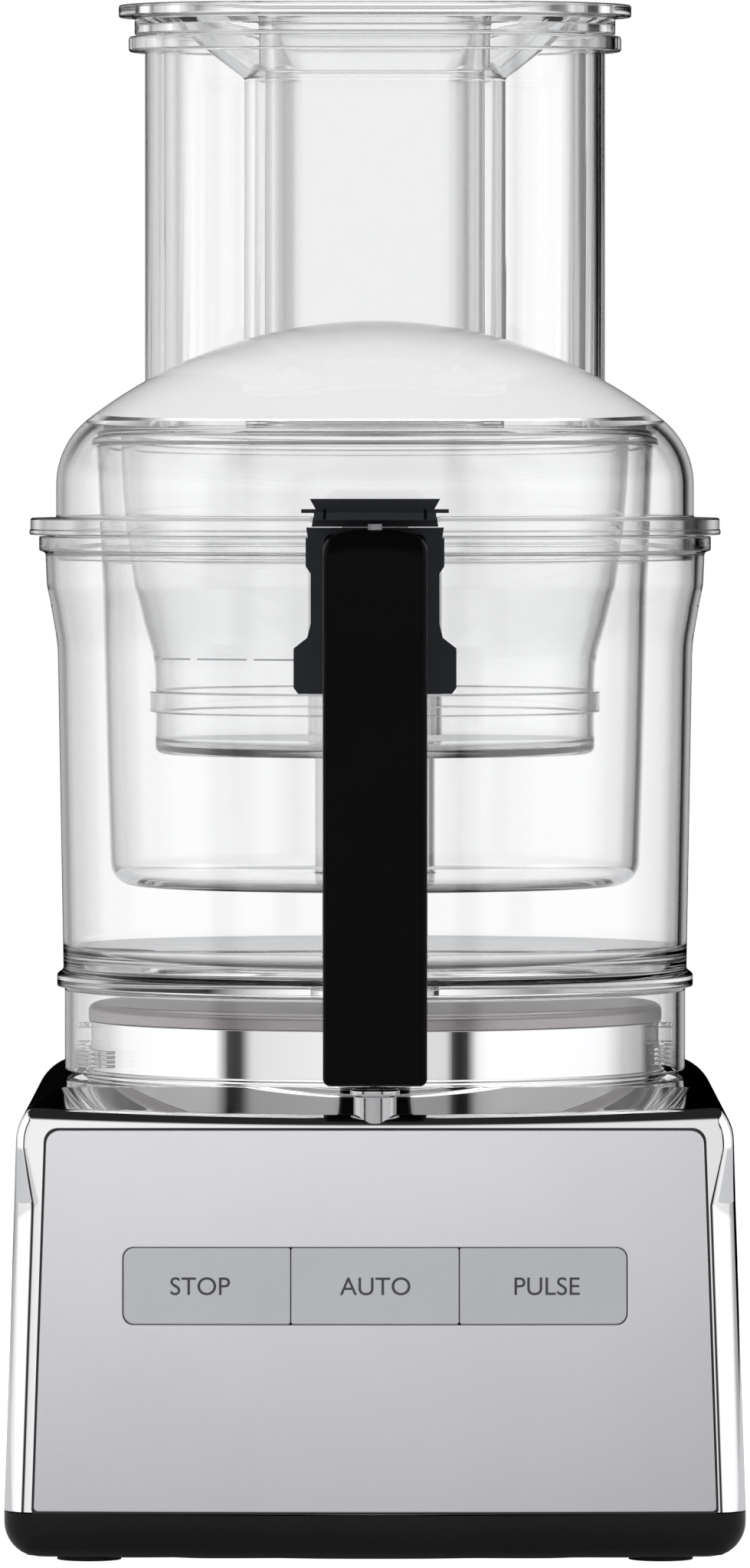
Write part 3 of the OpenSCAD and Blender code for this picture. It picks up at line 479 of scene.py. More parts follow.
def noise(tree, scale, detail=3.0, stretch=(1, 1, 1)):
    where = tree.nodes.new("ShaderNodeTexCoord")
    mapping = tree.nodes.new("ShaderNodeMapping")
    mapping.inputs["Scale"].default_value = stretch
    tex = tree.nodes.new("ShaderNodeTexNoise")
    tex.inputs["Scale"].default_value = scale
    tex.inputs["Detail"].default_value = detail
    link(tree, where, "Object", mapping, "Vector")
    link(tree, mapping, "Vector", tex, "Vector")
    return tex


def ranged(tree, tex, low_value, high_value, lo=0.3, hi=0.7):
    scale = tree.nodes.new("ShaderNodeMapRange")
    scale.inputs["From Min"].default_value = lo
    scale.inputs["From Max"].default_value = hi
    scale.inputs["To Min"].default_value = low_value
    scale.inputs["To Max"].default_value = high_value
    link(tree, tex, "Fac", scale, "Value")
    return scale


def finish_of(name, colour, rough, metal=0.0, vary=0.04, rough_vary=0.04, grain=900.0, bump=0.02, coat=0.0,
              patch=30.0, stretch=(1, 1, 1), specular=0.5, painted_height_shade=None):
    """A procedural finish: slow colour and roughness variation, and a fine grain.

    The last argument is (z0, z1, share, share): painted light and shade by height, the colour's share at one
    height and at another, in metres, so that a surface is lighter at the top."""
    mat, tree, shader = tree_of(name)
    slow = noise(tree, patch)
    ramp = tree.nodes.new("ShaderNodeValToRGB")
    dark = [max(0.0, c * (1 - vary)) for c in colour]
    light = [min(1.0, c * (1 + vary)) for c in colour]
    ramp.color_ramp.elements[0].position, ramp.color_ramp.elements[1].position = 0.3, 0.7
    ramp.color_ramp.elements[0].color = (*dark, 1)
    ramp.color_ramp.elements[1].color = (*light, 1)
    link(tree, slow, "Fac", ramp, "Fac")
    # Painted light and shade by height: the base colour is scaled down low on the surface and up high on it, in
    # place of how the light falls.
    if painted_height_shade:
        where = tree.nodes.new("ShaderNodeTexCoord")
        parts = tree.nodes.new("ShaderNodeSeparateXYZ")
        link(tree, where, "Object", parts, "Vector")
        tint_and_painted_shade = tree.nodes.new("ShaderNodeMapRange")
        for key, value in zip(("From Min", "From Max", "To Min", "To Max"), painted_height_shade):
            tint_and_painted_shade.inputs[key].default_value = value
        link(tree, parts, "Z", tint_and_painted_shade, "Value")
        scaled = tree.nodes.new("ShaderNodeVectorMath")
        scaled.operation = "SCALE"
        link(tree, ramp, "Color", scaled, "Vector")
        link(tree, tint_and_painted_shade, "Result", scaled, "Scale")
        link(tree, scaled, "Vector", shader, "Base Color")
    else:
        link(tree, ramp, "Color", shader, "Base Color")
    fine = noise(tree, grain, 2.0, stretch)
    spread = ranged(tree, fine, max(0.0, rough - rough_vary), min(1.0, rough + rough_vary))
    link(tree, spread, "Result", shader, "Roughness")
    shader.inputs["Metallic"].default_value = metal
    shader.inputs["Specular IOR Level"].default_value = specular
    shader.inputs["Coat Weight"].default_value = coat
    if bump:
        node = tree.nodes.new("ShaderNodeBump")
        node.inputs["Strength"].default_value = bump
        node.inputs["Distance"].default_value = 0.0002
        link(tree, fine, "Fac", node, "Height")
        link(tree, node, "Normal", shader, "Normal")
    return mat


def clear(name, tint_and_painted_shade, rough=0.0, ior=1.49, shadow=0.9, wave=0.0, milk=0.0):
    """Clear moulded plastic; light from lamps passes through it without caustics. Milk makes it cloudy."""
    mat, tree, shader = tree_of(name)
    shader.inputs["Base Color"].default_value = (*tint_and_painted_shade, 1)
    shader.inputs["Transmission Weight"].default_value = 1.0 - milk
    shader.inputs["IOR"].default_value = ior
    tex = noise(tree, 60.0, 2.0)
    spread = ranged(tree, tex, rough, rough + 0.006)
    link(tree, spread, "Result", shader, "Roughness")
    if wave:
        node = tree.nodes.new("ShaderNodeBump")
        node.inputs["Strength"].default_value = wave
        node.inputs["Distance"].default_value = 0.0006
        link(tree, tex, "Fac", node, "Height")
        link(tree, node, "Normal", shader, "Normal")
    path = tree.nodes.new("ShaderNodeLightPath")
    through = tree.nodes.new("ShaderNodeBsdfTransparent")
    through.inputs["Color"].default_value = (shadow, shadow, shadow, 1)
    mix = tree.nodes.new("ShaderNodeMixShader")
    link(tree, path, "Is Shadow Ray", mix, "Fac")
    link(tree, shader, "BSDF", mix, 1)
    link(tree, through, "BSDF", mix, 2)
    link(tree, mix, "Shader", tree.nodes["Material Output"], "Surface")
    return mat


CHROME = finish_of("chrome", (0.92, 0.92, 0.93), 0.02, 1.0, 0.01, 0.008, 500, 0.0)
# The satin panel's base colour is painted darker towards the bottom and lighter towards the top: painted shade
# and light by height.
PANEL = finish_of("panel_satin", (0.80, 0.80, 0.825), 0.34, 1.0, 0.015, 0.03, 1400, 0.05,
                  painted_height_shade=(0.018, 0.122, 0.80, 1.1))
TRAY = finish_of("tray_black", (0.006, 0.006, 0.0065), 0.17, 0.0, 0.2, 0.03, 700, 0.015, specular=0.2)
CAP_SATIN = finish_of("cap_satin", (0.47, 0.43, 0.44), 0.32, 0.85, 0.03, 0.03, 1600, 0.04)
KEY = finish_of("button_grey", (0.62, 0.625, 0.64), 0.36, 0.55, 0.02, 0.03, 1200, 0.04)
INK = finish_of("legend_dark", (0.06, 0.06, 0.07), 0.5, 0.0, 0.1, 0.05, 900, 0.0)
# Near-black for the ring behind the panel's gap: painted shade.
GAP_SHADE = finish_of("gap_dark", (0.02, 0.02, 0.02), 0.6, 0.0, 0.1, 0.05, 900, 0.0)
HANDLE = finish_of("handle_black", (0.0025, 0.0025, 0.003), 0.30, 0.0, 0.15, 0.03, 1500, 0.03, specular=0.05)
SLATE = finish_of("plate_slate", (0.016, 0.019, 0.024), 0.38, 0.0, 0.1, 0.04, 1200, 0.04, specular=0.2)
BOSS = finish_of("boss_grey", (0.55, 0.55, 0.56), 0.12, 1.0, 0.02, 0.03, 900, 0.01)
RUBBER = finish_of("foot_rubber", (0.03, 0.03, 0.03), 0.7, 0.0, 0.1, 0.06, 600, 0.08)
SEAL = finish_of("seal_rubber", (0.025, 0.025, 0.025), 0.65, 0.0, 0.1, 0.06, 600, 0.08)
STEEL = finish_of("screw_steel", (0.60, 0.60, 0.61), 0.3, 1.0, 0.04, 0.05, 900, 0.03)
MOULDED = finish_of("moulded_black", (0.02, 0.02, 0.021), 0.45, 0.0, 0.1, 0.05, 900, 0.05)
BOARD = finish_of("board_green", (0.03, 0.17, 0.07), 0.35, 0.0, 0.1, 0.05, 600, 0.02)
CAST = finish_of("cast_aluminium", (0.6, 0.6, 0.61), 0.5, 1.0, 0.05, 0.08, 300, 0.15)
LAMINATION = finish_of("lamination_steel", (0.3, 0.31, 0.33), 0.45, 1.0, 0.05, 0.08, 2000, 0.2,
                       stretch=(0.05, 0.05, 1))
COPPER = finish_of("copper_wire", (0.6, 0.26, 0.1), 0.35, 0.9, 0.08, 0.06, 1200, 0.25, stretch=(1, 1, 0.1))
WHITE = finish_of("capacitor_white", (0.75, 0.75, 0.73), 0.4, 0.0, 0.03, 0.04, 700, 0.03)
FAN = finish_of("fan_white", (0.7, 0.7, 0.68), 0.5, 0.0, 0.03, 0.04, 700, 0.04)
SPINDLE = finish_of("spindle_white", (0.78, 0.78, 0.78), 0.35, 0.0, 0.02, 0.04, 700, 0.03)
BOWL = clear("clear_bowl", (0.988, 0.989, 0.99), 0.0, 1.49)
LID = clear("clear_lid", (0.996, 0.997, 0.997), 0.0, 1.49)
DOME = clear("lid_crown", (0.95, 0.945, 0.945), 0.5, 1.3, milk=0.85)
SOFT = clear("lid_outside", (1.0, 1.0, 1.0), 0.0, 1.14)
FROST = clear("frosted_pusher", (0.99, 0.99, 0.99), 0.1, 1.45)
MARK = finish_of("level_mark", (0.55, 0.56, 0.58), 0.5, 0.0, 0.02, 0.05, 900, 0.0)

CAD_LOOK = {
    "foot_rubber": RUBBER, "screw_steel": STEEL, "seal_rubber": SEAL, "moulded_black": MOULDED,
    "board_green": BOARD, "cast_aluminium": CAST, "lamination_steel": LAMINATION, "copper_wire": COPPER,
    "capacitor_white": WHITE, "fan_white": FAN, "spindle_white": SPINDLE, "chrome": CHROME,
    "panel_satin": PANEL, "tray_black": TRAY, "cap_satin": CAP_SATIN, "button_grey": KEY,
    "clear_bowl": BOWL, "clear_lid": LID, "frosted_pusher": FROST, "plate_slate": SLATE,
    "handle_black": HANDLE,
}
for part in frame["record"]["subparts"]:
    node = NODES[part["node"]]
    for s in node.material_slots:
        s.material = CAD_LOOK[part["material_slot"]]


def fit(obj, mat, body, slot, *replaced):
    """Gives a piece its finish and its body, and hides the CAD nodes that it replaces; slot is not used."""
    obj.data.materials.clear()
    obj.data.materials.append(mat)
    if replaced:
        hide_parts(*replaced)
    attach(obj, body)
    return obj


# ---- Camera

def add_camera():
    """A long lens at the height of the lid, looking slightly down; the frame is 0.4506 m high at the axis."""
    distance, height, frame_height = 3.740, 0.3148, 0.4506
    camera = bpy.data.objects.new("camera", bpy.data.cameras.new("camera"))
    bpy.context.scene.collection.objects.link(camera)
    camera.location = (0, -distance, height)
    camera.rotation_euler = (math.radians(90 - 1.5365), 0, 0)
    camera.data.sensor_fit = "VERTICAL"
    camera.data.angle_y = 2 * math.atan(frame_height / 2 / distance)
    camera.data.clip_start = 0.05
    camera.data.clip_end = 50
    bpy.context.scene.camera = camera


# ---- Base

def front_plates():
    """The satin panel, and a near-black ring behind the gap round it: painted shade in the gap."""
    panel = on_front("panel", panel_outline(-0.3), -0.05, 1.4, 0.35, [key_outline(0.08)])
    smooth(panel, 40)
    fit(panel, PANEL, "base", "panel_satin", "front_panel")
    # A near-black ring just behind the gap round the panel, standing in for the shade in the gap: painted
    # shade.
    gap_shade = on_front("panel_gap_shade", panel_outline(0.26), -0.3, 0.4, 0.0, [panel_outline(-0.34)])
    smooth(gap_shade, 40)
    fit(gap_shade, GAP_SHADE, "base", "panel_satin")


# Body, node, legend and where the legend's middle is, for each key from left to right.
KEYS = (("stop_key", "stop_button", "STOP", -48.8), ("auto_key", "auto_button", "AUTO", 0.2),
        ("pulse_key", "pulse_button", "PULSE", 47.8))


def key_shape(index):
    """One key's outline; the outer corners follow the window."""
    half, z = KEY_W / 2 - 0.06, KEY_Z - TRAY_TOP
    x = (index - 1) * (KEY_W + 0.1)
    left = KEY_CORNER if index == 0 else 0.7
    right = KEY_CORNER if index == 2 else 0.7
    return rectangle(x - half, z - KEY_H / 2, x + half, z + KEY_H / 2, left, right)


def legend(index, words, middle):
    """Lettering laid on the key's face."""
    text = bpy.data.curves.new("legend_%d" % index, "FONT")
    text.body = words
    text.size = 7.1
    text.align_x = "CENTER"
    text.extrude = 0.04
    holder = bpy.data.objects.new("legend_%d" % index, text)
    bpy.context.scene.collection.objects.link(holder)
    graph = bpy.context.evaluated_depsgraph_get()
    mesh = bpy.data.meshes.new_from_object(holder.evaluated_get(graph))
    bpy.data.objects.remove(holder)
    for v in mesh.vertices:
        at = Vector((v.co.x + middle, -0.05 - v.co.z, v.co.y - 2.5 + KEY_Z - TRAY_TOP))
        v.co = place_on_front(at) * MM
    obj = bpy.data.objects.new("legend_%d" % index, mesh)
    bpy.context.scene.collection.objects.link(obj)
    return obj


def keys():
    """The three grey keys and their legends."""
    for index, (body, node, words, middle) in enumerate(KEYS):
        key = on_front(node + "_shape", key_shape(index), 0.0, 2.7, 0.3, (), 4.0, 5)
        smooth(key, 40)
        fit(key, KEY, body, "button_grey", node)
        fit(legend(index, words, middle), INK, body, "button_grey")


# ---- Collar

def collar():
    """The chrome ring with a two-step foot, and its satin cap with a rounded edge."""
    r = COLLAR_R
    wall = r - 2.4
    body = revolve("collar_ring", rounded([
        (wall, DECK - 5.5, 0.3), (r - 1.0, DECK - 5.5, 0.3), (r - 1.0, DECK - 0.2, 0.1),
        (r + 1.7, DECK - 0.05, 0.1), (r + 1.7, DECK + 0.55, 0.45), (r + 0.75, DECK + 0.9, 0.1),
        (r + 0.75, DECK + 1.5, 0.25), (r + 0.05, DECK + 1.7, 0.1), (r, DECK + 2.4, 0.2),
        (r, CAP - 5.0, 0.25), (wall, CAP - 5.0, 0.3)], 8), 360)
    smooth(body)
    fit(body, CHROME, "base", "chrome", "collar")
    cap = revolve("collar_top", rounded([
        (9, CAP - 2.4, 0.3), (r - 5, CAP - 2.4, 2.4), (wall, CAP - 5.0, 0.2), (r, CAP - 4.85, 0.25),
        (r, CAP, 4.7), (40, CAP, 0), (9, CAP, 0.3)], 12), 360)
    smooth(cap)
    fit(cap, CAP_SATIN, "base", "cap_satin", "collar_cap")


def lug(side):
    """One square stud on the collar's side."""
    half, corner, reach = 3.4, 1.7, 3.5
    z = DECK + 7.8 + half
    verts, faces = slab(rectangle(-half, z - half, half, z + half, corner, corner, 8), 0, 5.5, 0.7, (), 6)
    return make("lug", [(side * (COLLAR_R + reach - depth), x, up) for x, depth, up in verts], faces)


def lugs():
    """The two studs that the bowl's skirt locks on."""
    both = join("locking_studs", [lug(1), lug(-1)])
    clean(both)
    smooth(both, 50)
    fit(both, CHROME, "base", "chrome", "locking_lugs")


def handle_seat():
    """The turned boss on the deck under the handle's foot."""
    z = DECK - (-ROD_Y - 7 - COLLAR_R - 1.7) * FALL
    top = HANDLE_FOOT - 0.9
    boss = revolve("handle_seat", rounded([
        (2.5, z - 4, 0.1), (6.0, z - 4, 0.1), (6.0, z + 3.2, 0.3), (6.9, z + 3.6, 0.4),
        (6.9, z + 5.1, 0.4), (6.2, z + 5.3, 0.2), (6.2, top, 0.3), (2.5, top, 0.2)], 6), 96, (0, ROD_Y))
    smooth(boss)
    fit(boss, BOSS, "base", "chrome", "interlock_boss")


# ---- Bowls

BOWL_FOOT = BOWL_R - 5.1
SKIRT = COLLAR_R + 6.8
BORE, TUBE_R, BOWL_TUBE_TOP = 12.6, 15.3, RIM - 7.8
MIDI_R, MIDI_FLOOR, MIDI_RIM = BOWL_R - 14.6, FLOOR + 28.2, RIM + 28.2
MIDI_TUBE_TOP = BOWL_TUBE_TOP + 2.3


def wedge(name, r0, r1, z0, z1, a0, a1, bevel, steps=24):
    """Part of a ring, from angle a0 to a1 in degrees."""
    section = rounded([(r0, z0, bevel), (r1, z0, bevel), (r1, z1, bevel), (r0, z1, bevel)], 4)
    verts, n = [], len(section)
    for k in range(steps + 1):
        a = math.radians(a0 + (a1 - a0) * k / steps)
        verts += [(r * math.cos(a), r * math.sin(a), z) for r, z in section]
    faces = grid_faces(steps + 1, n, close_rows=False)
    faces += [tuple(range(n)), tuple(range(steps * n, (steps + 1) * n))]
    return make(name, verts, faces)


def main_bowl():
    """The skirt round the collar, the drafted wall flared to the rim, and the middle tube, as one outline."""
    foot, skirt, floor, rim = BOWL_FOOT, SKIRT, FLOOR, BOWL_R
    shell = revolve("main_bowl_shell", rounded([
        (skirt, DECK + 1, 0.6), (skirt, floor - 1.2, 0.8), (foot + 1.8, floor - 0.6, 0.5),
        (foot + 1.8, floor + 2.8, 0.8), (foot, floor + 4.2, 1.2), (foot + 1, RIM - 66, 60),
        (foot + 1.6, RIM - 31, 40), (rim - 1.6, RIM - 20, 18), (rim - 0.4, RIM - 14, 14),
        (rim, RIM - 4.6, 1.4), (rim + 1.8, RIM - 4.2, 0.6), (rim + 1.8, RIM, 0.5),
        (rim - 2.5, RIM, 0.5), (rim - 2.9, RIM - 14, 14), (rim - 4.1, RIM - 20, 18),
        (foot - 0.9, RIM - 31, 40), (foot - 1.5, RIM - 66, 60), (foot - 2.5, floor + 9, 7),
        (foot - 8, floor + 3, 7), (TUBE_R, floor + 3, 1.0), (TUBE_R - 0.15, BOWL_TUBE_TOP, 0.8),
        (BORE, BOWL_TUBE_TOP, 0.5), (BORE, floor, 0.5), (skirt - 2.5, floor, 1.2),
        (skirt - 2.5, DECK + 1, 0.6)], 10), 360)
    smooth(shell, 40)
    bayonet_ribs()
    fit(shell, BOWL, "bowl", "clear_bowl", "main_bowl")


def bayonet_ribs():
    """Four low ribs inside the skirt on each side, where the lugs lock."""
    ribs = []
    for turn in (0, 180):
        for k in range(4):
            z0 = DECK + 2.7 + 1.3 * k
            ribs.append(wedge("rib", COLLAR_R + 0.8, SKIRT - 2.56, z0, z0 + 0.95, turn - 7, turn + 22, 0.3))
    ramp = join("bayonet_ribs", ribs)
    smooth(ramp, 50)
    fit(ramp, BOWL, "bowl", "clear_bowl")


def level_line():
    """A fill line of three dashes on the main bowl's front."""
    face = BOWL_FOOT + 1.55
    marks = []
    for dash in ((-60, -52), (-50, -36), (-34, -22)):
        a0, a1 = (math.degrees(math.asin(x / face)) - 90 for x in dash)
        marks.append(wedge("mark", face + 0.07, face + 0.17, RIM - 34.4, RIM - 33.9, a0, a1, 0.02, 12))
    level = join("level_line", marks)
    smooth(level, 60)
    fit(level, MARK, "bowl", "clear_bowl")


def middle_bowl():
    """The bowl nested in the main one; its rim stands higher."""
    r, foot, rim = MIDI_R, MIDI_FLOOR, MIDI_RIM
    bore, tube, top = 15.7, 17.3, MIDI_TUBE_TOP
    obj = revolve("middle_bowl", rounded([
        (r - 4.1, foot, 7), (r - 3, foot + 35, 80), (r - 1.8, rim - 42, 80), (r, rim - 2, 0.5),
        (r + 1.5, rim - 1.9, 0.6), (r + 1.5, rim, 0.5), (r - 2, rim, 0.5), (r - 3.8, rim - 42, 80),
        (r - 5, foot + 35, 80), (r - 6.1, foot + 2, 5), (tube, foot + 2, 0.8), (tube, top, 0.8),
        (BORE, top, 0.4), (BORE, top - 2, 0.3), (bore, top - 2, 0.3), (bore, foot, 0.4)], 12), 360)
    smooth(obj, 40)
    fit(obj, BOWL, "midi", "clear_bowl", "midi_bowl")


def small_bowl():
    """The smallest bowl, with a band low on its flared wall."""
    r, floor, rim = MIDI_R - 7, MIDI_FLOOR + 37.8, MIDI_RIM + 0.3
    foot = r - 9.9
    bore, tube, top = 17.7, 19.3, MIDI_TUBE_TOP + 2.3
    obj = revolve("small_bowl", rounded([
        (foot, floor, 2.2), (foot, floor + 12, 0.3), (foot + 1.6, floor + 12, 0.5),
        (foot + 1.6, floor + 18, 0.5), (foot, floor + 18, 0.3), (foot + 0.4, floor + 27, 12),
        (r - 6.5, rim - 53, 20), (r - 3.9, rim - 42, 20), (r - 2, rim - 29, 30),
        (r - 0.6, rim - 15, 30), (r, rim, 0.5), (MIDI_R, rim, 0.4), (MIDI_R, rim + 1.7, 0.5),
        (r - 2, rim + 1.7, 0.5), (r - 2.6, rim - 15, 30), (r - 4, rim - 29, 30),
        (r - 5.9, rim - 42, 20), (r - 8.5, rim - 53, 20), (foot - 1.6, floor + 27, 12),
        (foot - 2, floor + 18, 10), (foot - 2, floor + 2, 3), (tube, floor + 2, 0.8),
        (tube, top, 0.8), (BORE, top, 0.4), (BORE, top - 2, 0.3), (bore, top - 2, 0.3),
        (bore, floor, 0.4)], 12), 360)
    smooth(obj, 40)
    fit(obj, BOWL, "mini", "clear_bowl", "mini_bowl")


# ---- Lid

# The dome's section is a shoulder arc and the crown's arc, which meet smoothly.
DOME_FOOT, SHOULDER_ARC, DOME_WALL = RIM + 14.7, 24.0, 3.0
SHOULDER_AT, DOME_RISE = DOME_R - SHOULDER_ARC, DOME_TOP - DOME_FOOT
CROWN_R = (SHOULDER_AT ** 2 + DOME_RISE ** 2 - SHOULDER_ARC ** 2) / (2 * (DOME_RISE - SHOULDER_ARC))
CROWN_Z = DOME_TOP - CROWN_R
MEET_AT = math.atan2(DOME_FOOT - CROWN_Z, SHOULDER_AT)
CROWN_LOW = DOME_FOOT + SHOULDER_ARC * math.sin(MEET_AT) - 0.5


def dome(inset):
    """The lid's outer or inner section, from the foot to the top."""
    r = SHOULDER_ARC - inset
    turn = np.linspace(0, MEET_AT, 22)
    shoulder = [(SHOULDER_AT + r * math.cos(t), DOME_FOOT + r * math.sin(t)) for t in turn]
    r = CROWN_R - inset
    turn = np.linspace(MEET_AT, math.pi / 2, 36)[1:-1]
    crown = [(r * math.cos(t), CROWN_Z + r * math.sin(t)) for t in turn]
    return shoulder + crown


def tower(w, d, z0, z1, name):
    """An upright bar with round ends, for the feed tube and its hollow."""
    verts = np.concatenate([ring(w, d, d / 2, z, 20) for z in (z0, z1)])
    n = len(verts) // 2
    faces = [(i, (i + 1) % n, n + (i + 1) % n, n + i) for i in range(n)]
    faces += [tuple(range(n)), tuple(range(n, 2 * n))]
    return make(name, verts, faces)


def lid():
    """The dome with its brim and the feed tube, and the rim round the tube's top."""
    under, skirt_in, brim_r = RIM + 0.4, BOWL_R - 3.4, 99.2
    brim = rounded([
        (DOME_R - DOME_WALL, RIM - 6.8, 0.5), (skirt_in, RIM - 6.8, 0.5), (skirt_in, under, 0.3),
        (brim_r, under, 0.4), (brim_r, under + 1.4, 0.4), (brim_r - 0.3, under + 1.5, 0.1),
        (brim_r - 0.3, under + 4.8, 0.6), (DOME_R, under + 4.8, 0.8), (DOME_R, DOME_FOOT, 0)], 6)
    middle = [(0.0, DOME_TOP), (0.0, DOME_TOP - DOME_WALL)]
    profile = [tuple(p) for p in brim[:-1]] + dome(0) + middle + dome(DOME_WALL)[::-1]
    obj = revolve("lid_dome", profile, 360)
    boolean(obj, tower(TUBE_W, TUBE_D, DOME_TOP - 28.6, TUBE_TOP, "t0"), "UNION")
    boolean(obj, tower(TUBE_W - 6, TUBE_D - 6, DOME_TOP - 70, TUBE_TOP + 5, "t1"))
    smooth(obj, 40)
    section = rounded([(0.02, TUBE_TOP - 4.7, 0.2), (4.7, TUBE_TOP - 4.5, 0.9),
                       (4.7, TUBE_TOP, 0.9), (0.02, TUBE_TOP, 0.1)], 6)
    rings = [ring(TUBE_W + 2 * out, TUBE_D + 2 * out, 60, z, 20) for out, z in section]
    rim = sweep_rings("tube_rim", rings)
    smooth(rim, 50)
    fit(rim, LID, "lid", "clear_lid")
    fit(obj, LID, "lid", "clear_lid", "lid")
    cloud_the_crown(obj)


def cloud_the_crown(obj):
    """The crown's inner face is cloudy, and its outer face reflects less than the rest."""
    obj.data.materials.append(DOME)
    obj.data.materials.append(SOFT)
    for face in obj.data.polygons:
        x, y, z = face.center / MM
        r = math.hypot(x, y)
        outer, inner = (CROWN_Z + math.sqrt(max(0.0, (CROWN_R - d) ** 2 - r * r)) for d in (0.0, DOME_WALL))
        if z <= CROWN_LOW:
            continue
        if abs(z - inner) < 0.6:
            face.material_index = 1
        elif abs(z - outer) < 0.3:
            face.material_index = 2


# ---- Pushers

PUSHER_FOOT, FLANGE_Z, PUSHER_TOP = DOME_TOP - 26, TUBE_TOP + 5.4, TUBE_TOP + 9
WELL_Z = FLANGE_Z - 17


def eased(sections, radius, arc=14):
    """Rings through the sections, with the edges between them rounded."""
    def corner_radius(section):
        w, d, r, _ = section
        return min(r, w / 2 - 0.01, d / 2 - 0.01)

    def toward(here, other):
        span = math.hypot((other[0] - here[0]) / 2, other[3] - here[3])
        t = min(0.45, radius / max(span, 1e-6))
        point = (1 - t) * np.array(here) + t * np.array(other)
        point[2] = (1 - t) * corner_radius(here) + t * corner_radius(other)
        return point

    rings = []
    for i, section in enumerate(sections):
        a = toward(section, sections[i - 1])
        b = toward(section, sections[(i + 1) % len(sections)])
        corner = np.array(section, float)
        corner[2] = corner_radius(section)
        for t in (0, 0.25, 0.5, 0.75, 1):
            q = (1 - t) ** 2 * a + 2 * t * (1 - t) * corner + t * t * b
            rings.append(ring(*q, arc))
    return rings


def wide_pusher():
    """A hollow bar in the feed tube, with a well for the narrow pusher and a wide flange."""
    w, d = TUBE_W - 11, TUBE_D - 11
    foot, flange, top = PUSHER_FOOT, FLANGE_Z, PUSHER_TOP
    round_end = 90.0
    outside = [
        (w, d, round_end, foot), (w, d, round_end, flange - 5.1),
        (TUBE_W + 6, TUBE_D + 6, round_end, flange - 5.05), (TUBE_W + 6, TUBE_D + 6, round_end, flange),
        (TUBE_W + 15.2, TUBE_D + 15.2, round_end, flange + 0.05),
        (TUBE_W + 15.2, TUBE_D + 15.2, round_end, top),
        (w - 8.4, d - 8.4, round_end, top), (w - 8.4, d - 8.4, round_end, flange + 0.6)]
    well = [
        (69.2, 39, 14, WELL_Z), (69.2, 39, 14, foot + 2.4), (61.2, 31, 14, foot + 2.4), (61.2, 31, 14, foot),
        (75.2, 45, 14, foot), (75.2, 45, 14, WELL_Z - 1)]
    inside = [(w - 4.4, d - 4.4, round_end, flange - 1.5), (w - 4.4, d - 4.4, round_end, foot)]
    obj = sweep_rings("wide_pusher", eased(outside + well + inside, 0.7, 18))
    smooth(obj, 40)
    fit(obj, LID, "large_pusher", "clear_lid", "large_pusher")


def narrow_pusher():
    """A cup that slides in the wide pusher's well."""
    foot, top = PUSHER_FOOT + 2.7, FLANGE_Z - 0.4
    rings = eased([
        (65, 34.8, 14, foot), (65, 34.8, 14, WELL_Z + 1), (68, 37.8, 14, WELL_Z + 1.2),
        (68, 37.8, 14, top - 1.7), (78, 43.8, 17, top - 1.6), (78, 43.8, 17, top),
        (60.6, 30.4, 12, top), (60.6, 30.4, 12, foot + 2.4)], 0.8, 12)
    n, rows = len(rings[0]), len(rings)
    faces = grid_faces(rows, n, close_rows=False)
    faces += [tuple(range(n)), tuple(range((rows - 1) * n, rows * n))]
    obj = make("narrow_pusher", np.concatenate(rings), faces)
    smooth(obj, 40)
    fit(obj, FROST, "small_pusher", "frosted_pusher", "small_pusher")


# ---- Handle, and the trims at the rim

GRIP_BACK = HANDLE_FRONT - 17
ARM = BOWL_R + 5.4


def handle_side():
    """The handle's outline seen from the side, as (y, z)."""
    foot, top = HANDLE_FOOT, HANDLE_TOP
    return rounded([
        (-ARM, top - 26, 0.8), (-ARM, top, 2.0), (-HANDLE_FRONT, top, 7.5), (-HANDLE_FRONT, foot, 2.5),
        (-ARM - 4, foot, 2.5), (-BOWL_FOOT - 5.2, FLOOR - 7.6, 2), (-BOWL_FOOT - 5.2, FLOOR + 10.4, 1.0),
        (-GRIP_BACK, FLOOR + 11.4, 6.5), (-GRIP_BACK, top - 27, 6.5), (-ARM - 4, top - 26.5, 0.5)][::-1], 10)


def handle_bar():
    """The side outline carried across, with rounded long edges and a slightly crowned front."""
    outline = counter_clockwise(handle_side())
    e0 = unit(outline - np.roll(outline, 1, 0))
    e1 = unit(np.roll(outline, -1, 0) - outline)
    inward = unit(np.stack([-e0[:, 1], e0[:, 0]], -1) + np.stack([-e1[:, 1], e1[:, 0]], -1))
    edge, half, steps = 2.1, HANDLE_HALF, 7
    rows = []
    for k in range(steps + 1):
        q = math.pi / 2 * k / steps
        rows.append((-half + edge - edge * math.cos(q), edge * (1 - math.sin(q))))
    middle = np.linspace(-half + edge, half - edge, 9)[1:-1]
    rows += [(x, 0.0) for x in middle] + [(-x, d) for x, d in rows[::-1]]
    verts = []
    for x, inset_by in rows:
        crown = 0.35 * (x / half) ** 2
        for y, z in outline + inward * inset_by:
            lift = crown * max(0.0, min(1.0, (-y - HANDLE_FRONT + 6) / 6))
            verts.append((x, y + lift, z))
    n = len(outline)
    faces = grid_faces(len(rows), n, close_rows=False)
    faces += [tuple(range(n)), tuple(range((len(rows) - 1) * n, len(rows) * n))]
    return make("bar_handle", verts, faces)


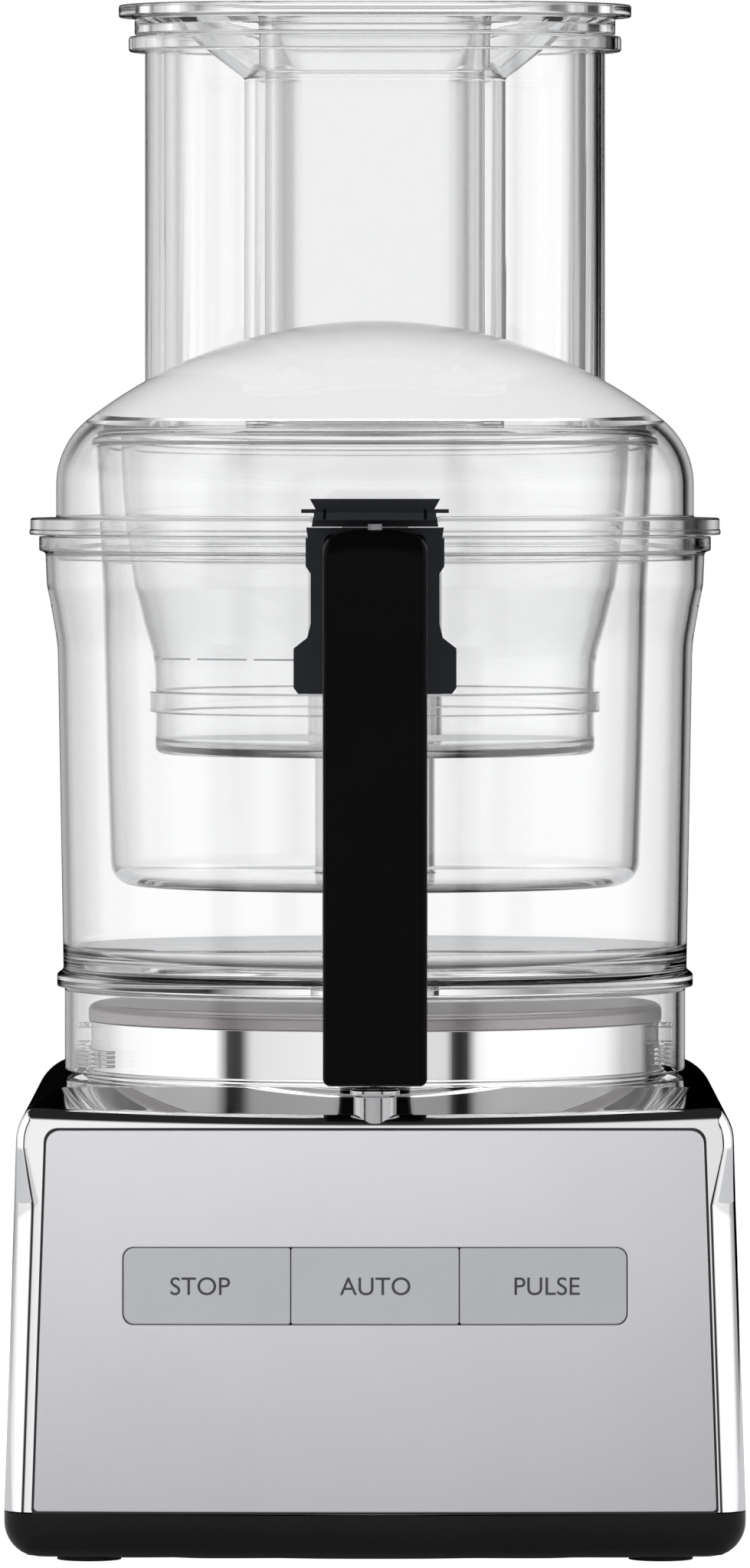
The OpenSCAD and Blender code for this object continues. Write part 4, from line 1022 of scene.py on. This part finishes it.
def handle():
    """The bar with an arched top, and a recess in the grip's inner face."""
    obj = handle_bar()
    rise, drop = 1.1, 3.2
    for v in obj.data.vertices:
        x, y, z = v.co / MM
        near_top = max(0.0, min(1.0, (z - HANDLE_TOP + 8) / 7)) * (y < -ARM - 1)
        v.co.z += (rise - drop * min(1.0, abs(x) / HANDLE_HALF) ** 3) * near_top * MM
    half, low, high = 9.15, FLOOR + 24.4, HANDLE_TOP - 58.9
    boolean(obj, box_mesh("c", (-half, -GRIP_BACK - 2.1, low), (half, -GRIP_BACK + 3, high)))
    smooth(obj, 35)
    fit(obj, HANDLE, "bowl", "handle_black", "bowl_handle")


def lip(name, half0, half1, z0, z1, r0, r1):
    """A curved plate across the front, half0 wide each way at the foot and half1 at the top."""
    verts, n = [], 25
    for z, half in ((z0, half0), (z1, half1)):
        for r in (r1, r0):
            verts += [(r * math.sin(x / r), -r * math.cos(x / r), z) for x in np.linspace(-half, half, n)]
    faces = [(i, i + 1, 2 * n + i + 1, 2 * n + i) for i in range(n - 1)]
    faces += [(n + i, 3 * n + i, 3 * n + i + 1, n + i + 1) for i in range(n - 1)]
    faces += [(i, n + i, n + i + 1, i + 1) for i in range(n - 1)]
    faces += [(2 * n + i, 2 * n + i + 1, 3 * n + i + 1, 3 * n + i) for i in range(n - 1)]
    faces += [(0, 2 * n, 3 * n, n), (n - 1, 2 * n - 1, 4 * n - 1, 3 * n - 1)]
    obj = make(name, verts, faces)
    clean(obj)
    smooth(obj, 40)
    return obj


def rim_trims():
    """The slate plate's lip on the bowl's rim, and the lid's hook above it."""
    plate = lip("plate_lip", 18.4, 19.4, RIM - 3, RIM + 3.1, 99.4, 100.3)
    fit(plate, SLATE, "bowl", "plate_slate")
    hook = lip("tab_hook", 17.8, 17.4, RIM + 3.3, RIM + 6.0, 99.4, 100.7)
    fit(hook, SLATE, "lid", "handle_black")


# ---- Floor and light

def add_floor():
    """A pale round floor, which the camera sees as bright as the background."""
    obj = bpy.data.objects.new("floor", bpy.data.meshes.new("floor"))
    bpy.context.scene.collection.objects.link(obj)
    radius, count = 1.2, 96
    turn = np.arange(count) * 2 * math.pi / count
    edge = [(radius * math.cos(a), radius * math.sin(a), 0) for a in turn]
    obj.data.from_pydata(edge, [], [tuple(range(count))])
    obj.data.update()
    mat, tree, shader = tree_of("floor_pale")
    shader.inputs["Base Color"].default_value = (0.80, 0.80, 0.80, 1)
    shader.inputs["Roughness"].default_value = 0.8
    shader.inputs["Specular IOR Level"].default_value = 0.0
    shader.inputs["Emission Color"].default_value = (1, 1, 1, 1)
    seen_by = tree.nodes.new("ShaderNodeLightPath")
    glow = tree.nodes.new("ShaderNodeMapRange")
    glow.inputs["To Min"].default_value = 0.05
    glow.inputs["To Max"].default_value = 1.0
    link(tree, seen_by, "Is Camera Ray", glow, "Value")
    link(tree, glow, "Result", shader, "Emission Strength")
    obj.data.materials.append(mat)


def area(name, at, aim, size, power):
    """A soft lamp that lights surfaces but isn't mirrored in them."""
    data = bpy.data.lights.new(name, "AREA")
    data.shape = "RECTANGLE"
    data.size = data.size_y = size
    data.energy = power
    obj = bpy.data.objects.new(name, data)
    bpy.context.scene.collection.objects.link(obj)
    obj.location = at
    obj.rotation_euler = (Vector(aim) - Vector(at)).to_track_quat("-Z", "Y").to_euler()
    obj.visible_glossy = False
    obj.visible_transmission = False
    obj.visible_camera = False
    return obj


def add_lamps():
    aim = (0, 0, 0.2)
    area("key", (-1.6, -2.2, 2.2), aim, 1.6, 14)
    area("fill", (2.0, -2.0, 1.2), aim, 1.6, 6)
    area("top", (0, 0.3, 2.6), aim, 2.2, 12)


class Studio:
    """The studio round the machine, as a world of soft boxes and dark gaps by direction."""

    def __init__(self):
        world = bpy.data.worlds.new("studio")
        bpy.context.scene.world = world
        world.use_nodes = True
        world.cycles.sampling_method = "NONE"
        self.tree = world.node_tree
        self.tree.nodes.clear()

    def put(self, socket, value):
        """Links a socket, or sets a plain value on it."""
        if isinstance(value, (int, float, tuple)):
            socket.default_value = value
        else:
            self.tree.links.new(value, socket)

    def math(self, operation, a, b):
        node = self.tree.nodes.new("ShaderNodeMath")
        node.operation = operation
        self.put(node.inputs[0], a)
        self.put(node.inputs[1], b)
        return node.outputs[0]

    def ramp(self, value, stops, low_end=-1.0, high_end=1.0):
        """Brightness by stops (position, brightness) between the two ends."""
        scaled = self.tree.nodes.new("ShaderNodeMapRange")
        scaled.inputs["From Min"].default_value = low_end
        scaled.inputs["From Max"].default_value = high_end
        self.put(scaled.inputs["Value"], value)
        node = self.tree.nodes.new("ShaderNodeValToRGB")
        elements = node.color_ramp.elements
        stops = [((p - low_end) / (high_end - low_end), v) for p, v in stops]
        elements[0].position, elements[1].position = stops[0][0], stops[-1][0]
        elements[0].color = (stops[0][1],) * 3 + (1,)
        elements[1].color = (stops[-1][1],) * 3 + (1,)
        for p, v in stops[1:-1]:
            elements.new(p).color = (v,) * 3 + (1,)
        self.put(node.inputs[0], scaled.outputs[0])
        return node.outputs["Color"]

    def mix(self, factor, a, b, blend="MIX"):
        node = self.tree.nodes.new("ShaderNodeMix")
        node.data_type = "RGBA"
        node.blend_type = blend
        self.put(node.inputs["Factor"], factor)
        self.put(node.inputs["A"], a)
        self.put(node.inputs["B"], b)
        return node.outputs["Result"]

    def background(self, colour, strength=1.0):
        node = self.tree.nodes.new("ShaderNodeBackground")
        node.inputs["Strength"].default_value = strength
        self.put(node.inputs["Color"], colour)
        return node.outputs[0]

    def mix_shader(self, factor, a, b):
        node = self.tree.nodes.new("ShaderNodeMixShader")
        self.put(node.inputs[0], factor)
        self.put(node.inputs[1], a)
        self.put(node.inputs[2], b)
        return node.outputs[0]


def add_world():
    """White to the camera; mirrors and clear plastic see the soft boxes, and plain surfaces an even grey."""
    studio = Studio()
    coords = studio.tree.nodes.new("ShaderNodeTexCoord")
    split = studio.tree.nodes.new("ShaderNodeSeparateXYZ")
    studio.put(split.inputs[0], coords.outputs["Generated"])
    dx, dy, dz = split.outputs
    # Degrees from the camera's side, positive to the right.
    turned = studio.math("ARCTAN2", dx, studio.math("MULTIPLY", dy, -1.0))
    azimuth = studio.math("MULTIPLY", turned, 180 / math.pi)
    around = studio.ramp(azimuth, [
        (-180, 0.0), (-163, 0.01), (-154, 0.5), (-132, 0.74), (-118, 1.1), (-66, 1.2), (-60.5, 0.03),
        (-54.5, 0.03), (-50, 0.86), (-20, 0.95), (10, 0.86), (28.5, 0.78), (31, 0.03), (37, 0.03),
        (41, 1.05), (50, 1.2), (104, 1.1), (116, 0.6), (131, 0.55), (138, 0.0), (180, 0.0)], -180, 180)
    ceiling = studio.ramp(dz, [(0.50, 0.0), (0.70, 1.0)], 0, 1)
    below = studio.ramp(dz, [(-1, 0.9), (-0.25, 0.85), (-0.02, 0.75), (0.0, 1.0), (1, 1.0)])
    mirrored = studio.mix(1.0, studio.mix(ceiling, around, (0.02, 0.02, 0.021, 1)), below, "MULTIPLY")
    # Clear plastic sees white straight behind the machine, and dark gaps above and round it.
    behind = studio.ramp(dy, [(0.93, 0.0), (0.988, 1.0)], 0, 1)
    gaps = studio.ramp(dz, [(-1, 0.5), (-0.2, 0.6), (-0.04, 1.0), (0.08, 1.0), (0.2, 0.35), (0.5, 0.4),
                            (0.7, 1.0), (1, 1.0)])
    refracted = studio.mix(1.0, studio.mix(ceiling, around, (1.6, 1.6, 1.6, 1)), gaps, "MULTIPLY")
    white = studio.background((1, 1, 1, 1))
    through = studio.mix_shader(behind, studio.background(refracted), white)
    path = studio.tree.nodes.new("ShaderNodeLightPath")
    even = studio.background((0.9, 0.92, 0.95, 1), 0.55)
    light = studio.mix_shader(path.outputs["Is Glossy Ray"], even, studio.background(mirrored))
    light = studio.mix_shader(path.outputs["Is Transmission Ray"], light, through)
    light = studio.mix_shader(path.outputs["Is Camera Ray"], light, white)
    out = studio.tree.nodes.new("ShaderNodeOutputWorld")
    studio.put(out.inputs["Surface"], light)


def set_render():
    """Plain colours, and enough bounces for nested clear walls."""
    scene = bpy.context.scene
    scene.view_settings.view_transform = "Standard"
    scene.view_settings.look = "None"
    scene.cycles.max_bounces = 32
    scene.cycles.transmission_bounces = 32
    scene.cycles.glossy_bounces = 12
    scene.cycles.transparent_max_bounces = 32
    scene.cycles.diffuse_bounces = 4


add_camera()
fit(housing(), CHROME, "base", "chrome", "housing_shell")
front_plates()
fit(tray(), TRAY, "base", "tray_black", "base_tray")
keys()
collar()
lugs()
handle_seat()
main_bowl()
level_line()
middle_bowl()
small_bowl()
lid()
wide_pusher()
narrow_pusher()
handle()
rim_trims()
add_floor()
add_lamps()
add_world()
set_render()
